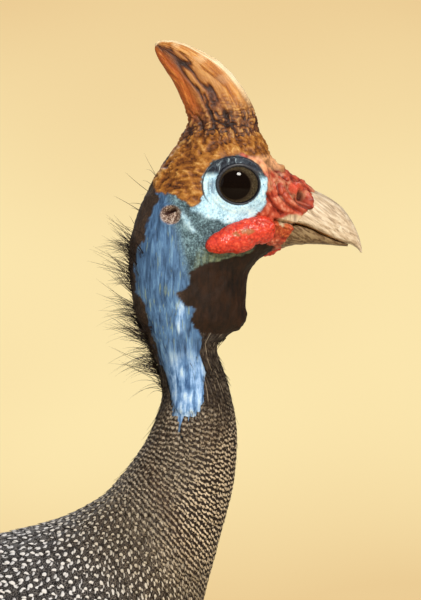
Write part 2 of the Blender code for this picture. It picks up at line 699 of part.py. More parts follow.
def slab(name, inner, outer, rows, columns, material=None):
    """A closed plate between two like grids of points, split into triangles alike on both faces."""
    faces, second = [], rows * columns
    for i in range(rows - 1):
        for j in range(columns - 1):
            a, b, c, d = (i * columns + j, i * columns + j + 1, (i + 1) * columns + j + 1, (i + 1) * columns + j)
            faces += [(a, b, c), (a, c, d)]
            faces += [(second + a, second + c, second + b), (second + a, second + d, second + c)]
    rim = [j for j in range(columns)]
    rim += [i * columns + columns - 1 for i in range(1, rows)]
    rim += [(rows - 1) * columns + j for j in range(columns - 2, -1, -1)]
    rim += [i * columns for i in range(rows - 2, 0, -1)]
    for k, a in enumerate(rim):
        b = rim[(k + 1) % len(rim)]
        faces += [(a, second + b, b), (a, second + a, second + b)]
    return new_object(name, inner + outer, faces, material)


def tail_vane(side, start, yaw, length, width, level, roof=0.0, sink=0.0):
    """A tail feather from its place across the root, its sideways angle and its level below the top feather."""
    aim = Vector((TAIL_AIM[0], 0, TAIL_AIM[1])).normalized()
    normal = Vector((aim.z, 0, -aim.x))
    turn = math.radians(yaw)
    shaft = aim * math.cos(turn) + Vector((0, side * math.sin(turn), 0))
    across = shaft.cross(normal).normalized()
    root = Vector((TAIL_ROOT[0], side * start, TAIL_ROOT[1])) - normal * (level * TAIL_STEP)
    edge = Vector((RUMP_SECTIONS[0][0], 0, RUMP_SECTIONS[0][1]))
    rearward = Vector((RUMP_SECTIONS[0][3] - edge.z, 0, edge.x - RUMP_SECTIONS[0][2])).normalized()
    upper, under = [], []
    for along, wide in VANE_OUTLINE:
        for column in (-1, 1):
            point = root + shaft * (length * along) + across * (column * 0.5 * width * wide)
            drop = abs(point.y) * 0.05 + point.y**2 * roof + sink * (along == 0)
            point = point - normal * drop
            behind = (point - edge).dot(rearward)
            point = point + shaft * (max(ROOT_DEPTH - behind, 0) / shaft.dot(rearward))
            upper.append(tuple(point))
            under.append(tuple(point - normal * VANE_THICK))
    return slab("vane", under, upper, len(VANE_OUTLINE), 2)


def make_tail(material):
    """The drooping tail: a rump that carries a fan of tail feathers, roofed by two tiers of coverts."""
    tail = loft("tail", sections_of(RUMP_SECTIONS, 0, len(RUMP_SECTIONS) - 1, 7, 14, near=GAP), material)
    vanes, level = [], 0
    for k, (start, yaw, share) in enumerate(TAIL_PAIRS):
        for side in (1, -1):
            vanes.append(tail_vane(side, start, yaw, TAIL_LENGTH * share, TAIL_WIDTH, level))
            level += k < 2 or side < 0
    for count, length, rise in COVERT_TIERS:
        for k in range(count):
            place = (k + 0.5) / count * 2 - 1
            step = rise + 1.9 * (1 - abs(place)) + (place > 0)
            vanes.append(tail_vane(1, place * 15, place * 13, length, 19, -step, roof=0.012, sink=3.0))
    return smooth(apply_boolean(tail, vanes, "UNION"), 30)


def stand_on_origin(bird):
    """Moves the whole bird so that the middle of its box is over the origin, and its toes are on the floor."""
    graph = bpy.context.evaluated_depsgraph_get()
    reach = [
        (made.evaluated_get(graph).matrix_world @ Vector(corner)).x
        for made in bird.children
        for corner in made.evaluated_get(graph).bound_box
    ]
    bird.location = (-(min(reach) + max(reach)) / 2, 0, EYE_HEIGHT * MM)


def main():
    for old in list(bpy.data.objects):
        bpy.data.objects.remove(old)
    plumage = new_material("plumage", (0.06, 0.055, 0.05), 0.75)
    skin = new_material("blue_skin", (0.16, 0.33, 0.6), 0.55)
    horn = new_material("casque_horn", (0.52, 0.24, 0.08), 0.5)
    bill_horn = new_material("bill_horn", (0.62, 0.55, 0.42), 0.4)
    wattle = new_material("wattle_skin", (0.62, 0.05, 0.03), 0.45)
    eye = new_material("eye", (0.03, 0.02, 0.015), 0.05)
    scale = new_material("leg_scale", (0.07, 0.065, 0.06), 0.6)
    claw = new_material("claw_horn", (0.04, 0.035, 0.03), 0.4)
    make_torso(plumage)
    make_neck("neck_feathered", NECK_BASE, BARE_NECK, 12, 24, plumage)
    make_bare_neck(skin)
    make_head(skin)
    smooth(loft("casque", sections_of(CASQUE_SECTIONS, 0, 8, 15, 14), horn))
    smooth(loft("bill_upper", sections_of(UPPER_BILL_SECTIONS, 0, 6, 12, 12), bill_horn))
    smooth(loft("bill_lower", sections_of(LOWER_BILL_SECTIONS, 0, 4, 9, 12), bill_horn))
    make_tail(plumage)
    for side in (1, -1):
        make_eye(side, eye)
        make_wattle(side, wattle)
        make_wing(side, plumage)
        make_thigh(side, plumage)
        make_shank(side, scale)
        for toe in TOES:
            make_toe(side, toe, scale)
            make_claw(side, toe, claw)
    bird = bpy.data.objects.new("guinea_fowl", None)
    bpy.context.scene.collection.objects.link(bird)
    for made in list(bpy.context.scene.objects):
        if made.type == "MESH":
            made.parent = bird
    bpy.context.view_layer.update()
    stand_on_origin(bird)


main()
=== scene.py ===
"""The looks of a helmeted guinea fowl at life size: skin, horn, wattles, plumage, scaled feet and a stage.

The tables are in millimetres, measured from the middle of the eye: x runs forwards to the bill, y to the
bird's left and z up.
"""

import itertools
import json
import math

import bmesh
import bpy
import numpy as np
from mathutils import Matrix, Vector

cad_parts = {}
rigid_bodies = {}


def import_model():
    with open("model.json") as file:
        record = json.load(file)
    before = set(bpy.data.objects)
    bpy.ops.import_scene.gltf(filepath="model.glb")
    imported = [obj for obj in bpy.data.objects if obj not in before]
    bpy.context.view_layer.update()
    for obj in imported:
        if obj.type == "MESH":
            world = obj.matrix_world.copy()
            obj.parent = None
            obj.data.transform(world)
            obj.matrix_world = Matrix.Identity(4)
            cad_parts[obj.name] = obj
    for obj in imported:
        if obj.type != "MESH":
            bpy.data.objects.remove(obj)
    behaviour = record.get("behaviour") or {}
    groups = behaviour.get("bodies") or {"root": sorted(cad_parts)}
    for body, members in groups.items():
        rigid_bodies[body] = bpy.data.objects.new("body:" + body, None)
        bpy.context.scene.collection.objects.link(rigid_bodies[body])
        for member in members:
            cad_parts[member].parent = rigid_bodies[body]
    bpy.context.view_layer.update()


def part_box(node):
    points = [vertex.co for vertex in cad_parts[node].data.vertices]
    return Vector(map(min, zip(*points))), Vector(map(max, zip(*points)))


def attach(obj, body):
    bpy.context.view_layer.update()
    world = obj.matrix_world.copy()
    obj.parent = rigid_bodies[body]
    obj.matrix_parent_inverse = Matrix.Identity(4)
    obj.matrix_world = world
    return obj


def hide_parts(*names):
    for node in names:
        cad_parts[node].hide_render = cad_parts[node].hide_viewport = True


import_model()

bl_info = {
    "name": "Guinea Fowl",
    "version": (1, 0, 0),
    "blender": (4, 5, 0),
    "location": "View3D > Sidebar > Guinea Fowl",
    "description": "Builds the skin, horn and plumage of a helmeted guinea fowl over its solid frame",
    "category": "Add Mesh",
}

MM = 0.001
EYE_LOW, EYE_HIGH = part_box("eye_right")
EYE = np.array(((EYE_LOW.x + EYE_HIGH.x) / 2, 0.0, (EYE_LOW.z + EYE_HIGH.z) / 2))
FLOOR = -EYE[2] / MM

# A section runs from a point on the hind or back line to a point on the front or belly line of the bird.
# Its values are: back x, back z, front x, front z, half width, and how far up from the front it is widest.
RUMP_SECTIONS = (
    (-321, -228, -320, -231, 3, 0.45),
    (-314, -217, -312, -228, 8, 0.45),
    (-304, -204, -300, -223, 13, 0.45),
    (-292, -188, -286, -215, 18, 0.46),
    (-280, -172, -273, -207, 22, 0.48),
)
BODY_SECTIONS = (
    (-268, -157, -262, -200, 24, 0.50),
    (-250, -141, -244, -219, 41, 0.50),
    (-221, -124, -212, -242, 57, 0.50),
    (-186, -112, -176, -259, 69, 0.50),
    (-148, -107.5, -134, -267, 74, 0.48),
    (-116, -108, -92, -265, 73, 0.46),
    (-94, -107.5, -54, -252, 68, 0.44),
    (-78, -105.6, -25, -230, 59, 0.42),
    (-66, -103, -11, -202, 48.5, 0.42),
    (-56, -100.3, -9.5, -174, 38, 0.42),
    (-47.5, -96.8, -12.6, -150, 29, 0.44),
    (-39.5, -91.8, -10.8, -128, 22, 0.46),
    (-32.5, -83.6, -6, -108.5, 17, 0.50),
    (-27.5, -76, -1.3, -90, 14, 0.50),
    (-24, -67.5, -0.2, -74, 12.2, 0.50),
    (-23, -61.2, -2.6, -60.5, 11.2, 0.50),
    (-25.8, -51.8, -6.3, -48.8, 10.8, 0.50),
    (-28.6, -44.5, -3.0, -45.8, 11, 0.60),
    (-30.3, -40, 1.0, -41.9, 11.4, 0.64),
    (-31.8, -33, 2.2, -35.6, 12.2, 0.64),
    (-32.7, -22.5, 2.8, -27.5, 13.0, 0.60),
    (-31.6, -13.5, 5.6, -23, 13.5, 0.56),
    (-28, -3.5, 8.6, -20.6, 13.6, 0.55),
    (-21.5, 7.8, 10.2, -19.7, 13.2, 0.55),
    (-13.5, 16.8, 11.2, -19.3, 12.6, 0.53),
    (-3, 18.3, 11.8, -19, 12.0, 0.50),
    (6.2, 15.3, 12.1, -18.9, 11.0, 0.48),
    (9.9, 8.4, 12.25, -18.87, 9.9, 0.48),
    (14.4, 4.6, 12.4, -18.85, 8.7, 0.48),
    (18.4, 2, 12.5, -18.82, 7.5, 0.48),
    (22, -1.2, 12.6, -18.8, 6.6, 0.46),
)
RUMP = len(RUMP_SECTIONS)
ALL_SECTIONS = RUMP_SECTIONS + BODY_SECTIONS
HEAD_END = len(BODY_SECTIONS) - 1

CASQUE_SECTIONS = (
    (-17.4, 11.5, 7.4, 11.5, 7.2, 0.46),
    (-16.2, 15.3, 6.5, 15.3, 6.6, 0.46),
    (-14.8, 19.0, 5.9, 19.5, 5.3, 0.46),
    (-15.9, 23.0, 4.3, 24.0, 4.8, 0.46),
    (-17.9, 27.8, 1.4, 29.5, 4.4, 0.45),
    (-20.2, 32.0, -3.6, 35.2, 3.8, 0.44),
    (-22.6, 35.9, -10.6, 40.1, 3.1, 0.42),
    (-24.3, 38.8, -17.5, 42.8, 2.3, 0.42),
    (-25.0, 40.8, -22.2, 43.4, 1.3, 0.45),
    (-24.9, 42.2, -23.9, 43.4, 0.7, 0.5),
)
# Clefts low on the casque, in the side view.
CASQUE_CUTS = (
    ((-10.2, 27.0), (-8.4, 22.5), (-7.2, 18.0), (-4.8, 13.5)),
    ((-12.6, 21.0), (-10.8, 17.4), (-10.2, 13.8)),
    ((-3.0, 21.6), (-1.8, 17.4), (0.6, 13.6)),
    ((-7.4, 19.6), (-3.4, 17.6), (-1.0, 18.2)),
)
UPPER_BILL_SECTIONS = (
    (21.4, -1.3, 15.7, -11.5, 4.6, 0.14),
    (22.2, -1.4, 16.65, -11.75, 6.2, 0.14),
    (26.6, -3.4, 20.7, -12.75, 5.6, 0.14),
    (31.4, -7.0, 25.3, -14.9, 4.6, 0.16),
    (34.5, -11.4, 29.7, -16.7, 3.3, 0.20),
    (36.3, -15.6, 33.5, -17.75, 1.9, 0.35),
    (37.05, -18.6, 35.6, -18.9, 0.9, 0.5),
    (37.2, -20.3, 36.8, -20.3, 0.25, 0.5),
)
LOWER_BILL_SECTIONS = (
    (14.6, -11.2, 11.2, -18.2, 5.2, 0.86),
    (16.3, -11.6, 12.85, -18.85, 5.4, 0.86),
    (20.5, -12.6, 17.4, -17.95, 4.7, 0.86),
    (25.0, -14.7, 22.8, -17.75, 3.6, 0.84),
    (29.3, -16.5, 28.2, -18.0, 2.2, 0.8),
    (33.0, -17.7, 32.9, -18.5, 0.8, 0.5),
)

EYE_OUT, EYE_YAW = 11.0, math.radians(10)
EYE_RADII = (7.1, 3.3, 6.6)
LID_RADII = (7.0, 6.4)
LID_OPENING = (6.3, 5.6)
PUPIL_AT, PUPIL_RADII, IRIS_RADII = (-0.8, -0.2), (4.5, 4.3), (6.0, 5.4)
LID_RING_AT, LID_RING = (-1.0, -0.2), (9.7, 8.6)
EAR_AT, EAR_RADII = (-20.0, -9.1), (3.2, 3.0)
NOSTRIL_AT, NOSTRIL_RADII = (18.5, -3.3), (1.4, 2.3)
NOSTRIL_KNOB = (17.0, -0.9, 2.3)
# The upper end of the line where the cere meets the horn, and the way ahead of that line.
CERE_END, CERE_AIM = np.array((22.0, -1.2)), np.array((0.882, -0.471))
WATTLE_TILT = math.radians(17)
WATTLE_BULBS = (
    (0.6, -15.2, 10.8, 3.2, 4.4),
    (-4.8, -17.2, 5.2, 3.1, 3.3),
    (1.0, -16.4, 5.0, 3.7, 4.1),
    (6.6, -13.6, 4.6, 3.5, 4.4),
)
LEFT_WATTLE_BULB = (9.2, -17.6, 4.8, 2.6, 3.6)

# Outlines of the coloured skin, seen from the side: x and z.
BLUE_OUTLINE = (
    (-24.7, -1.5), (-23.2, -4.1), (-26.3, -8.0), (-26.9, -11.1), (-27.8, -15.7), (-30.9, -21.3),
    (-30.8, -28.8), (-30.0, -33.3), (-27.9, -34.8), (-26.7, -42.3), (-24.6, -48.6), (-23.1, -54.0),
    (-21.3, -59.4), (-20.4, -64.2), (-19.2, -67.5), (-16.5, -68.9), (-12.3, -67.5), (-11.1, -64.8),
    (-10.2, -59.4), (-9.6, -55.8), (-10.8, -50.4), (-10.2, -45.6), (-12.3, -43.5), (-14.4, -40.8),
    (-13.2, -37.5), (-17.7, -34.8), (-18.3, -32.1), (-15.0, -31.2), (-14.4, -27.9), (-14.1, -25.5),
    (-4.9, -22.4), (4.2, -20.6), (9.0, -12.0), (9.0, 12.0), (-24.0, 14.0),
)
CROWN_OUTLINE = (
    (-18.0, 30.0), (-17.0, 14.4), (-22.2, 6.6), (-25.8, 1.8), (-24.8, -1.3), (-22.6, -2.6), (-18.9, -3.2),
    (-16.5, -4.7), (-13.4, -7.4), (-11.0, -5.6), (-10.4, -3.0), (-10.9, 1.2), (-9.6, 4.4), (-7.6, 7.0),
    (-3.3, 8.6), (1.1, 9.1), (5.9, 7.8), (9.7, 5.0), (13.0, 3.4), (18.0, 8.0), (12.0, 14.0), (9.0, 30.0),
)
RED_OUTLINE = (
    (-0.4, 8.6), (1.1, 9.1), (5.9, 7.8), (9.7, 5.0), (13.0, 3.4), (18.0, 8.0), (26.0, 6.0), (26.0, -12.0),
    (14.0, -21.0), (4.0, -14.0), (4.4, -10.4), (8.5, -7.0), (8.9, -1.5), (8.6, 1.5), (7.6, 3.8), (4.4, 6.8),
)
PALE_OUTLINE = (
    (-10.6, -4.5), (-13.3, -7.9), (-9.4, -9.3), (-3.7, -11.3), (1.1, -11.7), (7.3, -8.9), (8.6, -5.5),
    (8.9, -1.0), (8.0, 2.0), (-9.5, 5.0), (-10.6, 1.0),
)
HORN_OUTLINE = (
    (25.0, -4.5), (21.3, -6.8), (17.4, -8.3), (11.4, -10.7), (12.6, -12.1), (17.6, -12.3), (25.0, -14.0)
)
GAPE_OUTLINE = ((11.0, -11.0), (18.0, -12.3), (18.6, -15.6), (15.8, -16.6), (12.2, -15.2))
# Lines beside the ear: its slit, the fold that runs down from it, and that fold's pale colour.
EAR_SLIT = ((-22.0, -8.4), (-19.2, -7.3))
EAR_FOLD = ((-16.4, -9.4), (-13.4, -14.4))
PALE_FOLD = ((-16.4, -9.4), (-13.6, -14.0))
# Creases of the cere and the gape: their line in the side view, depth and width.
CREASES = (
    (((14.7, -0.3), (15.9, -3.1), (17.8, -5.7), (20.7, -7.2)), 0.9, 0.42),
    (((8.6, -3.1), (10.7, -6.0), (13.0, -8.9)), 0.8, 0.45),
    (((11.6, 0.6), (12.4, -2.9), (14.6, -5.6), (17.4, -7.6)), 0.6, 0.38),
    (((8.8, 6.6), (11.6, 4.0), (14.5, 1.4)), 0.6, 0.5),
    (((11.2, -10.8), (17.6, -12.1)), 1.2, 0.42),
)

FOOT_X, FOOT_Y, STRIDE = -140.0, 31.0, 7.0
PAD_RADIUS, PAD_HEIGHT = 7.0, 12.0
HOCK_BACK, HOCK_HEIGHT = 23.0, 86.0
SHANK_WIDTHS = ((0, 4.6), (0.12, 3.9), (0.5, 3.7), (0.82, 4.2), (0.93, 5.2), (0.98, 4.6), (1.0, 3.6))
THIGH_SECTIONS = (
    (0.0, 0, 5.6, 5.2),
    (0.10, 1, 7.5, 6.8),
    (0.35, 6, 14, 11),
    (0.65, 16, 24, 17),
    (1.0, 30, 33, 22),
)
THIGH_HEIGHT = 84.0
# Each toe: name, yaw from straight ahead towards the midline, sideways start, length, radius at its root.
TOES = (
    ("middle", 0, 0.0, 47.0, 3.6),
    ("inner", 33, 4.3, 34.0, 3.2),
    ("outer", -31, -4.3, 38.0, 3.2),
    ("hind", 172, 1.0, 16.0, 2.6),
)
CLAW_LENGTH = 9.5

WING_FRONT, WING_REAR = -52.0, -240.0
WING_EDGES = ((-292, 60, 80), (-240, 42, 92), (-180, 34, 103), (-120, 38, 106), (-80, 52, 98), (-52, 72, 84))
FLANK_TAPER, FLANK_FALL = 0.22, 0.40
TAIL_ROOT, TAIL_AIM = (-262.0, -157.5), (-0.69, -0.724)
TAIL_LENGTH, TAIL_WIDTH, TAIL_STEP = 102.0, 22.0, 0.95

# The coat along the body: place in body sections, exposed length of a feather, and depth of the coat.
PLUMAGE = (
    (-5.0, 5.6, 1.2),
    (0.0, 7.2, 2.4),
    (5.4, 7.6, 3.1),
    (5.6, 4.1, 3.1),
    (7.0, 3.9, 3.0),
    (8.5, 3.6, 2.8),
    (10.0, 3.2, 2.2),
    (11.0, 2.8, 1.9),
    (12.0, 2.3, 1.6),
    (13.0, 2.0, 1.3),
    (14.5, 1.75, 1.0),
    (17.5, 1.7, 0.8),
)
# Shares of the exposed length from one row to the next, and from one feather of a row to the next.
ROW_STEP, ROW_WIDTH = 0.86, 0.92
# Feathers at lower places than this carry two spots side by side, and the others one.
TWO_SPOTS_BELOW = 5.5
NECK_ABOVE = 10.0
# Places of the uppermost and lowest rows of body feathers.
COAT_START, COAT_END = 17.3, -4.2
FULL_TURN = 6.2832
# The limit of a feather's spots: its tip alone, or rows of spots along the whole vane.
TIP_SPOTS, ALL_SPOTS = 0.85, 9.0
SHANK_SCUTE_HEIGHT, TOE_SCUTE_HEIGHT, SMALL_SCALE_HEIGHT = 0.65, 0.55, 0.30

# Curves, noise and outlines


def spline(table, places):
    """Rows of a table at fractional places, on a Catmull-Rom spline through its rows."""
    rows = np.asarray(table, float)
    places = np.clip(np.atleast_1d(np.asarray(places, float)), 0, len(rows) - 1)
    first = np.minimum(places.astype(int), len(rows) - 2)
    share = (places - first)[:, None]
    padded = np.vstack([2 * rows[0] - rows[1], rows, 2 * rows[-1] - rows[-2]])
    a, b, c, d = (padded[first + k] for k in range(4))
    return b + 0.5 * share * (c - a + share * (2 * a - 5 * b + 4 * c - d + share * (3 * (b - c) + d - a)))


def section_points(table, place, angle, lift=0.0):
    """Points round a table's sections. Angle 0 is the back, pi the front, and between them the left side."""
    place, angle, lift = np.broadcast_arrays(*(np.asarray(v, float) for v in (place, angle, lift)))
    shape = place.shape
    rows, angle, lift = spline(table, place.ravel()), angle.ravel(), lift.ravel()
    line = rows[:, 0:2] - rows[:, 2:4]
    height = np.linalg.norm(line, axis=1)
    up = line / height[:, None]
    along = np.cos(angle)
    reach = along * (np.where(along > 0, 1 - rows[:, 5], rows[:, 5]) * height + lift)
    middle = rows[:, 2:4] + up * (height * rows[:, 5])[:, None]
    points = np.column_stack(
        [
            middle[:, 0] + up[:, 0] * reach, (rows[:, 4] + lift) * np.sin(angle),
            middle[:, 1] + up[:, 1] * reach,
        ]
    )
    return points.reshape(*shape, 3)


def body_points(place, angle, lift=0.0):
    """Points on the bird's outline, by place in body sections; the rump has places below zero."""
    return section_points(ALL_SECTIONS, np.asarray(place, float) + RUMP, angle, lift)


def by_place(column, place):
    """A column of the plumage table at given places."""
    table = np.array(PLUMAGE)
    return np.interp(place, table[:, 0], table[:, column])


def noise(points, size, seed=0):
    """Smooth noise from about -1 to 1, with lumps of about the given size."""
    table = np.random.default_rng(seed).uniform(-1, 1, (32, 32, 32))
    scaled = np.asarray(points, float) / size + 97.3
    cell = np.floor(scaled).astype(int)
    part = scaled - cell
    part = part * part * (3 - 2 * part)
    total = np.zeros(len(scaled))
    for corner in itertools.product((0, 1), repeat=3):
        x, y, z = ((cell + corner) % 32).T
        total += table[x, y, z] * np.prod(np.where(corner, part, 1 - part), axis=1)
    return total


def rough(points, size, octaves=3, seed=0):
    """Noise with finer noise on top of it."""
    return sum(noise(points, size / 2**k, seed + k) / 2**k for k in range(octaves))


def pebbles(points, size, seed=0):
    """The distance to the nearest of scattered centres, in shares of a size: 0 on top of each pebble."""
    spread = np.random.default_rng(seed).uniform(0.1, 0.9, (16, 16, 16, 3))
    scaled = np.asarray(points, float) / size + 61.7
    cell = np.floor(scaled).astype(int)
    best = np.full(len(scaled), 9.0)
    for step in itertools.product((-1, 0, 1), repeat=3):
        near = cell + step
        x, y, z = (near % 16).T
        best = np.minimum(best, np.linalg.norm(near + spread[x, y, z] - scaled, axis=1))
    return best


def billow(points, size, seed=0):
    """Rounded lumps of about the given size between narrow creases: 0 in a crease and 1 on top."""
    swirl = points + 0.5 * size * np.column_stack([noise(points, 2.2 * size, seed + k) for k in (1, 2, 3)])
    return np.clip(np.abs(noise(swirl, size, seed)) * 2.6, 0, 1)


def ridges(points, size, seed=0):
    """A network of narrow crests round hollows of about the given size: 0 in a hollow and 1 on a crest."""
    return 1 - billow(points, size, seed)


def away_from(points, line):
    """Distance from points in the side view to a line through some corners."""
    nearest = np.full(len(points), 1e9)
    for a, b in zip(np.array(line[:-1]), np.array(line[1:])):
        share = np.clip((points - a) @ (b - a) / ((b - a) @ (b - a)), 0, 1)
        nearest = np.minimum(nearest, np.linalg.norm(points - a - share[:, None] * (b - a), axis=1))
    return nearest


def rise(value, low, high):
    """0 below low, 1 above high and smooth between them."""
    share = np.clip((np.asarray(value, float) - low) / (high - low), 0, 1)
    return share * share * (3 - 2 * share)


def depth_inside(points, outline):
    """How far each point lies inside a closed outline, in millimetres, and below zero outside it."""
    corners = np.array(outline, float)
    nearest, crossings = np.full(len(points), 1e9), np.zeros(len(points), int)
    for a, b in zip(corners, np.roll(corners, -1, axis=0)):
        run = b - a
        share = np.clip((points - a) @ run / (run @ run), 0, 1)
        nearest = np.minimum(nearest, np.linalg.norm(points - a - share[:, None] * run, axis=1))
        spans = (a[1] > points[:, 1]) != (b[1] > points[:, 1])
        if run[1]:
            crossings += spans & (points[:, 0] < a[0] + run[0] * (points[:, 1] - a[1]) / run[1])
    return np.where(crossings % 2, nearest, -nearest)


# Meshes


def turned_outwards(points, faces):
    """The same faces, all turned round if they look inwards."""
    a, b, c = (points[faces[:, k]] for k in range(3))
    volume = np.einsum("ij,ij->", a, np.cross(b, c))
    if faces.shape[1] == 4:
        d = points[faces[:, 3]]
        volume += np.einsum("ij,ij->", a, np.cross(c, d))
    return faces if volume > 0 else faces[:, ::-1]


def mesh_of(name, points, faces):
    """A mesh from millimetre points round the eye, and faces of one size."""
    points = np.asarray(points, float).reshape(-1, 3)
    faces = np.asarray(faces, np.int32)
    mesh = bpy.data.meshes.new(name)
    mesh.vertices.add(len(points))
    mesh.vertices.foreach_set("co", (points * MM + EYE).astype(np.float32).ravel())
    mesh.loops.add(faces.size)
    mesh.loops.foreach_set("vertex_index", faces.ravel())
    mesh.polygons.add(len(faces))
    mesh.polygons.foreach_set("loop_start", np.arange(0, faces.size, faces.shape[1], dtype=np.int32))
    mesh.update(calc_edges=True)
    mesh.validate()
    return mesh


def new_object(name, mesh, finish=None, smooth=True):
    """A mesh as an object of the scene."""
    made = bpy.data.objects.new(name, mesh)
    bpy.context.scene.collection.objects.link(made)
    if finish:
        mesh.materials.append(finish)
    if smooth:
        mesh.shade_smooth()
    return made


def placed_points(mesh):
    """The points of a mesh in millimetres round the eye."""
    flat = np.empty(len(mesh.vertices) * 3, np.float32)
    mesh.vertices.foreach_get("co", flat)
    return (flat.reshape(-1, 3).astype(float) - EYE) / MM


def normals_of(mesh):
    """The outward direction at each point of a mesh."""
    flat = np.empty(len(mesh.vertices) * 3, np.float32)
    mesh.vertex_normals.foreach_get("vector", flat)
    return flat.reshape(-1, 3).astype(float)


def move_to(mesh, points):
    """Moves the points of a mesh to places in millimetres round the eye."""
    mesh.vertices.foreach_set("co", (points * MM + EYE).astype(np.float32).ravel())
    mesh.update()


def write_value(mesh, name, values):
    """A number for every point of a mesh, which its material reads by name."""
    layer = mesh.attributes.new(name, "FLOAT", "POINT")
    layer.data.foreach_set("value", np.asarray(values, np.float32).ravel())


def read_value(mesh, name):
    """The numbers that a mesh carries under a name."""
    values = np.empty(len(mesh.vertices), np.float32)
    mesh.attributes[name].data.foreach_get("value", values)
    return values.astype(float)


def write_map(mesh, name, places):
    """A flat map of the mesh, from one pair of numbers for every point."""
    layer = mesh.uv_layers.new(name=name)
    corners = np.empty(len(mesh.loops), np.int32)
    mesh.loops.foreach_get("vertex_index", corners)
    layer.data.foreach_set("uv", np.asarray(places, np.float32).reshape(-1, 2)[corners].ravel())


def join_solids(target, others):
    """Fuses closed meshes into the target and removes them."""
    tools = bpy.data.collections.new("tools")
    bpy.context.scene.collection.children.link(tools)
    for other in others:
        bpy.context.scene.collection.objects.unlink(other)
        tools.objects.link(other)
    step = target.modifiers.new("join", "BOOLEAN")
    step.operation, step.operand_type, step.collection, step.solver = "UNION", "COLLECTION", tools, "MANIFOLD"
    apply_steps(target)
    for other in list(tools.objects):
        bpy.data.objects.remove(other)
    bpy.data.collections.remove(tools)
    return target


def apply_steps(made):
    """Applies an object's modifiers."""
    graph = bpy.context.evaluated_depsgraph_get()
    done = bpy.data.meshes.new_from_object(made.evaluated_get(graph))
    made.modifiers.clear()
    made.data = done


def grid_faces(rows, around, closed=True):
    """Quads between rows of points; the rows are rings where closed."""
    steps = around if closed else around - 1
    i, k = np.meshgrid(np.arange(rows - 1), np.arange(steps), indexing="ij")
    after = (k + 1) % around
    return np.stack(
        [i * around + k, i * around + after, (i + 1) * around + after, (i + 1) * around + k], -1
    ).reshape(-1, 4)


def tube(name, rings, finish=None):
    """A closed solid through rings of points, each end drawn together in a few shrinking rings."""
    rings = np.asarray(rings, float)
    ends = []
    for ring in (rings[0], rings[-1]):
        middle = ring.mean(axis=0)
        ends.append([middle + (ring - middle) * share for share in (0.66, 0.33, 0.02)])
    rings = np.concatenate([ends[0][::-1], rings, ends[1]])
    around = rings.shape[1]
    points = rings.reshape(-1, 3)
    faces = turned_outwards(points, grid_faces(len(rings), around))
    mesh = mesh_of(name, points, faces)
    write_value(
        mesh, "along", np.repeat(np.clip((np.arange(len(rings)) - 3) / (len(rings) - 7), 0, 1), around)
    )
    write_value(mesh, "around", np.tile(np.arange(around) / around, len(rings)))
    shape = bmesh.new()
    shape.from_mesh(mesh)
    shape.verts.ensure_lookup_table()
    caps = [shape.verts[:around], shape.verts[-around:]]
    for cap in caps:
        face = shape.faces.new(cap)
        face.normal_update()
        link = next(f for f in face.edges[0].link_faces if f is not face)
        if bmesh_same_turn(face, link, face.edges[0]):
            face.normal_flip()
    shape.to_mesh(mesh)
    shape.free()
    return new_object(name, mesh, finish)


def bmesh_same_turn(first, second, edge):
    """True if two faces run along their common edge the same way, so that one of them is turned."""

    def runs(face):
        corner = next(c for c in face.loops if c.edge is edge)
        return corner.vert

    return runs(first) is runs(second)


def dress(made, slot_name, *nodes):
    """Sets a piece on the frame: its body and the solids that it stands for. Its slot name is not used."""
    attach(made, "root")
    if nodes:
        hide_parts(*nodes)
    return made


# Materials


class Shade:
    """A number or colour that changes over a surface; sums with it add nodes to its material."""

    def __init__(self, finish, socket):
        self.finish, self.socket = finish, socket

    def sum(self, operation, first, second):
        return self.finish.node("ShaderNodeMath", {"operation": operation}, {0: first, 1: second})

    def __add__(self, other):
        return self.sum("ADD", self, other)

    __radd__ = __add__

    def __sub__(self, other):
        return self.sum("SUBTRACT", self, other)

    def __rsub__(self, other):
        return self.sum("SUBTRACT", other, self)

    def __mul__(self, other):
        return self.sum("MULTIPLY", self, other)

    __rmul__ = __mul__

    def __truediv__(self, other):
        return self.sum("DIVIDE", self, other)

    def __pow__(self, other):
        return self.sum("POWER", self, other)

    def least(self, other):
        return self.sum("MINIMUM", self, other)

    def most(self, other):
        return self.sum("MAXIMUM", self, other)

    def sine(self):
        return self.sum("SINE", self, 0.0)

    def floor(self):
        return self.sum("FLOOR", self, 0.0)

    def fraction(self):
        return self.sum("FRACT", self, 0.0)

    def rises(self, low, high):
        """0 below low, 1 above high and smooth between them."""
        return self.finish.node(
            "ShaderNodeMapRange",
            {"interpolation_type": "SMOOTHSTEP"},
            {"Value": self, "From Min": low, "From Max": high, "To Min": 0.0, "To Max": 1.0},
        )

    def falls(self, low, high):
        return 1 - self.rises(low, high)


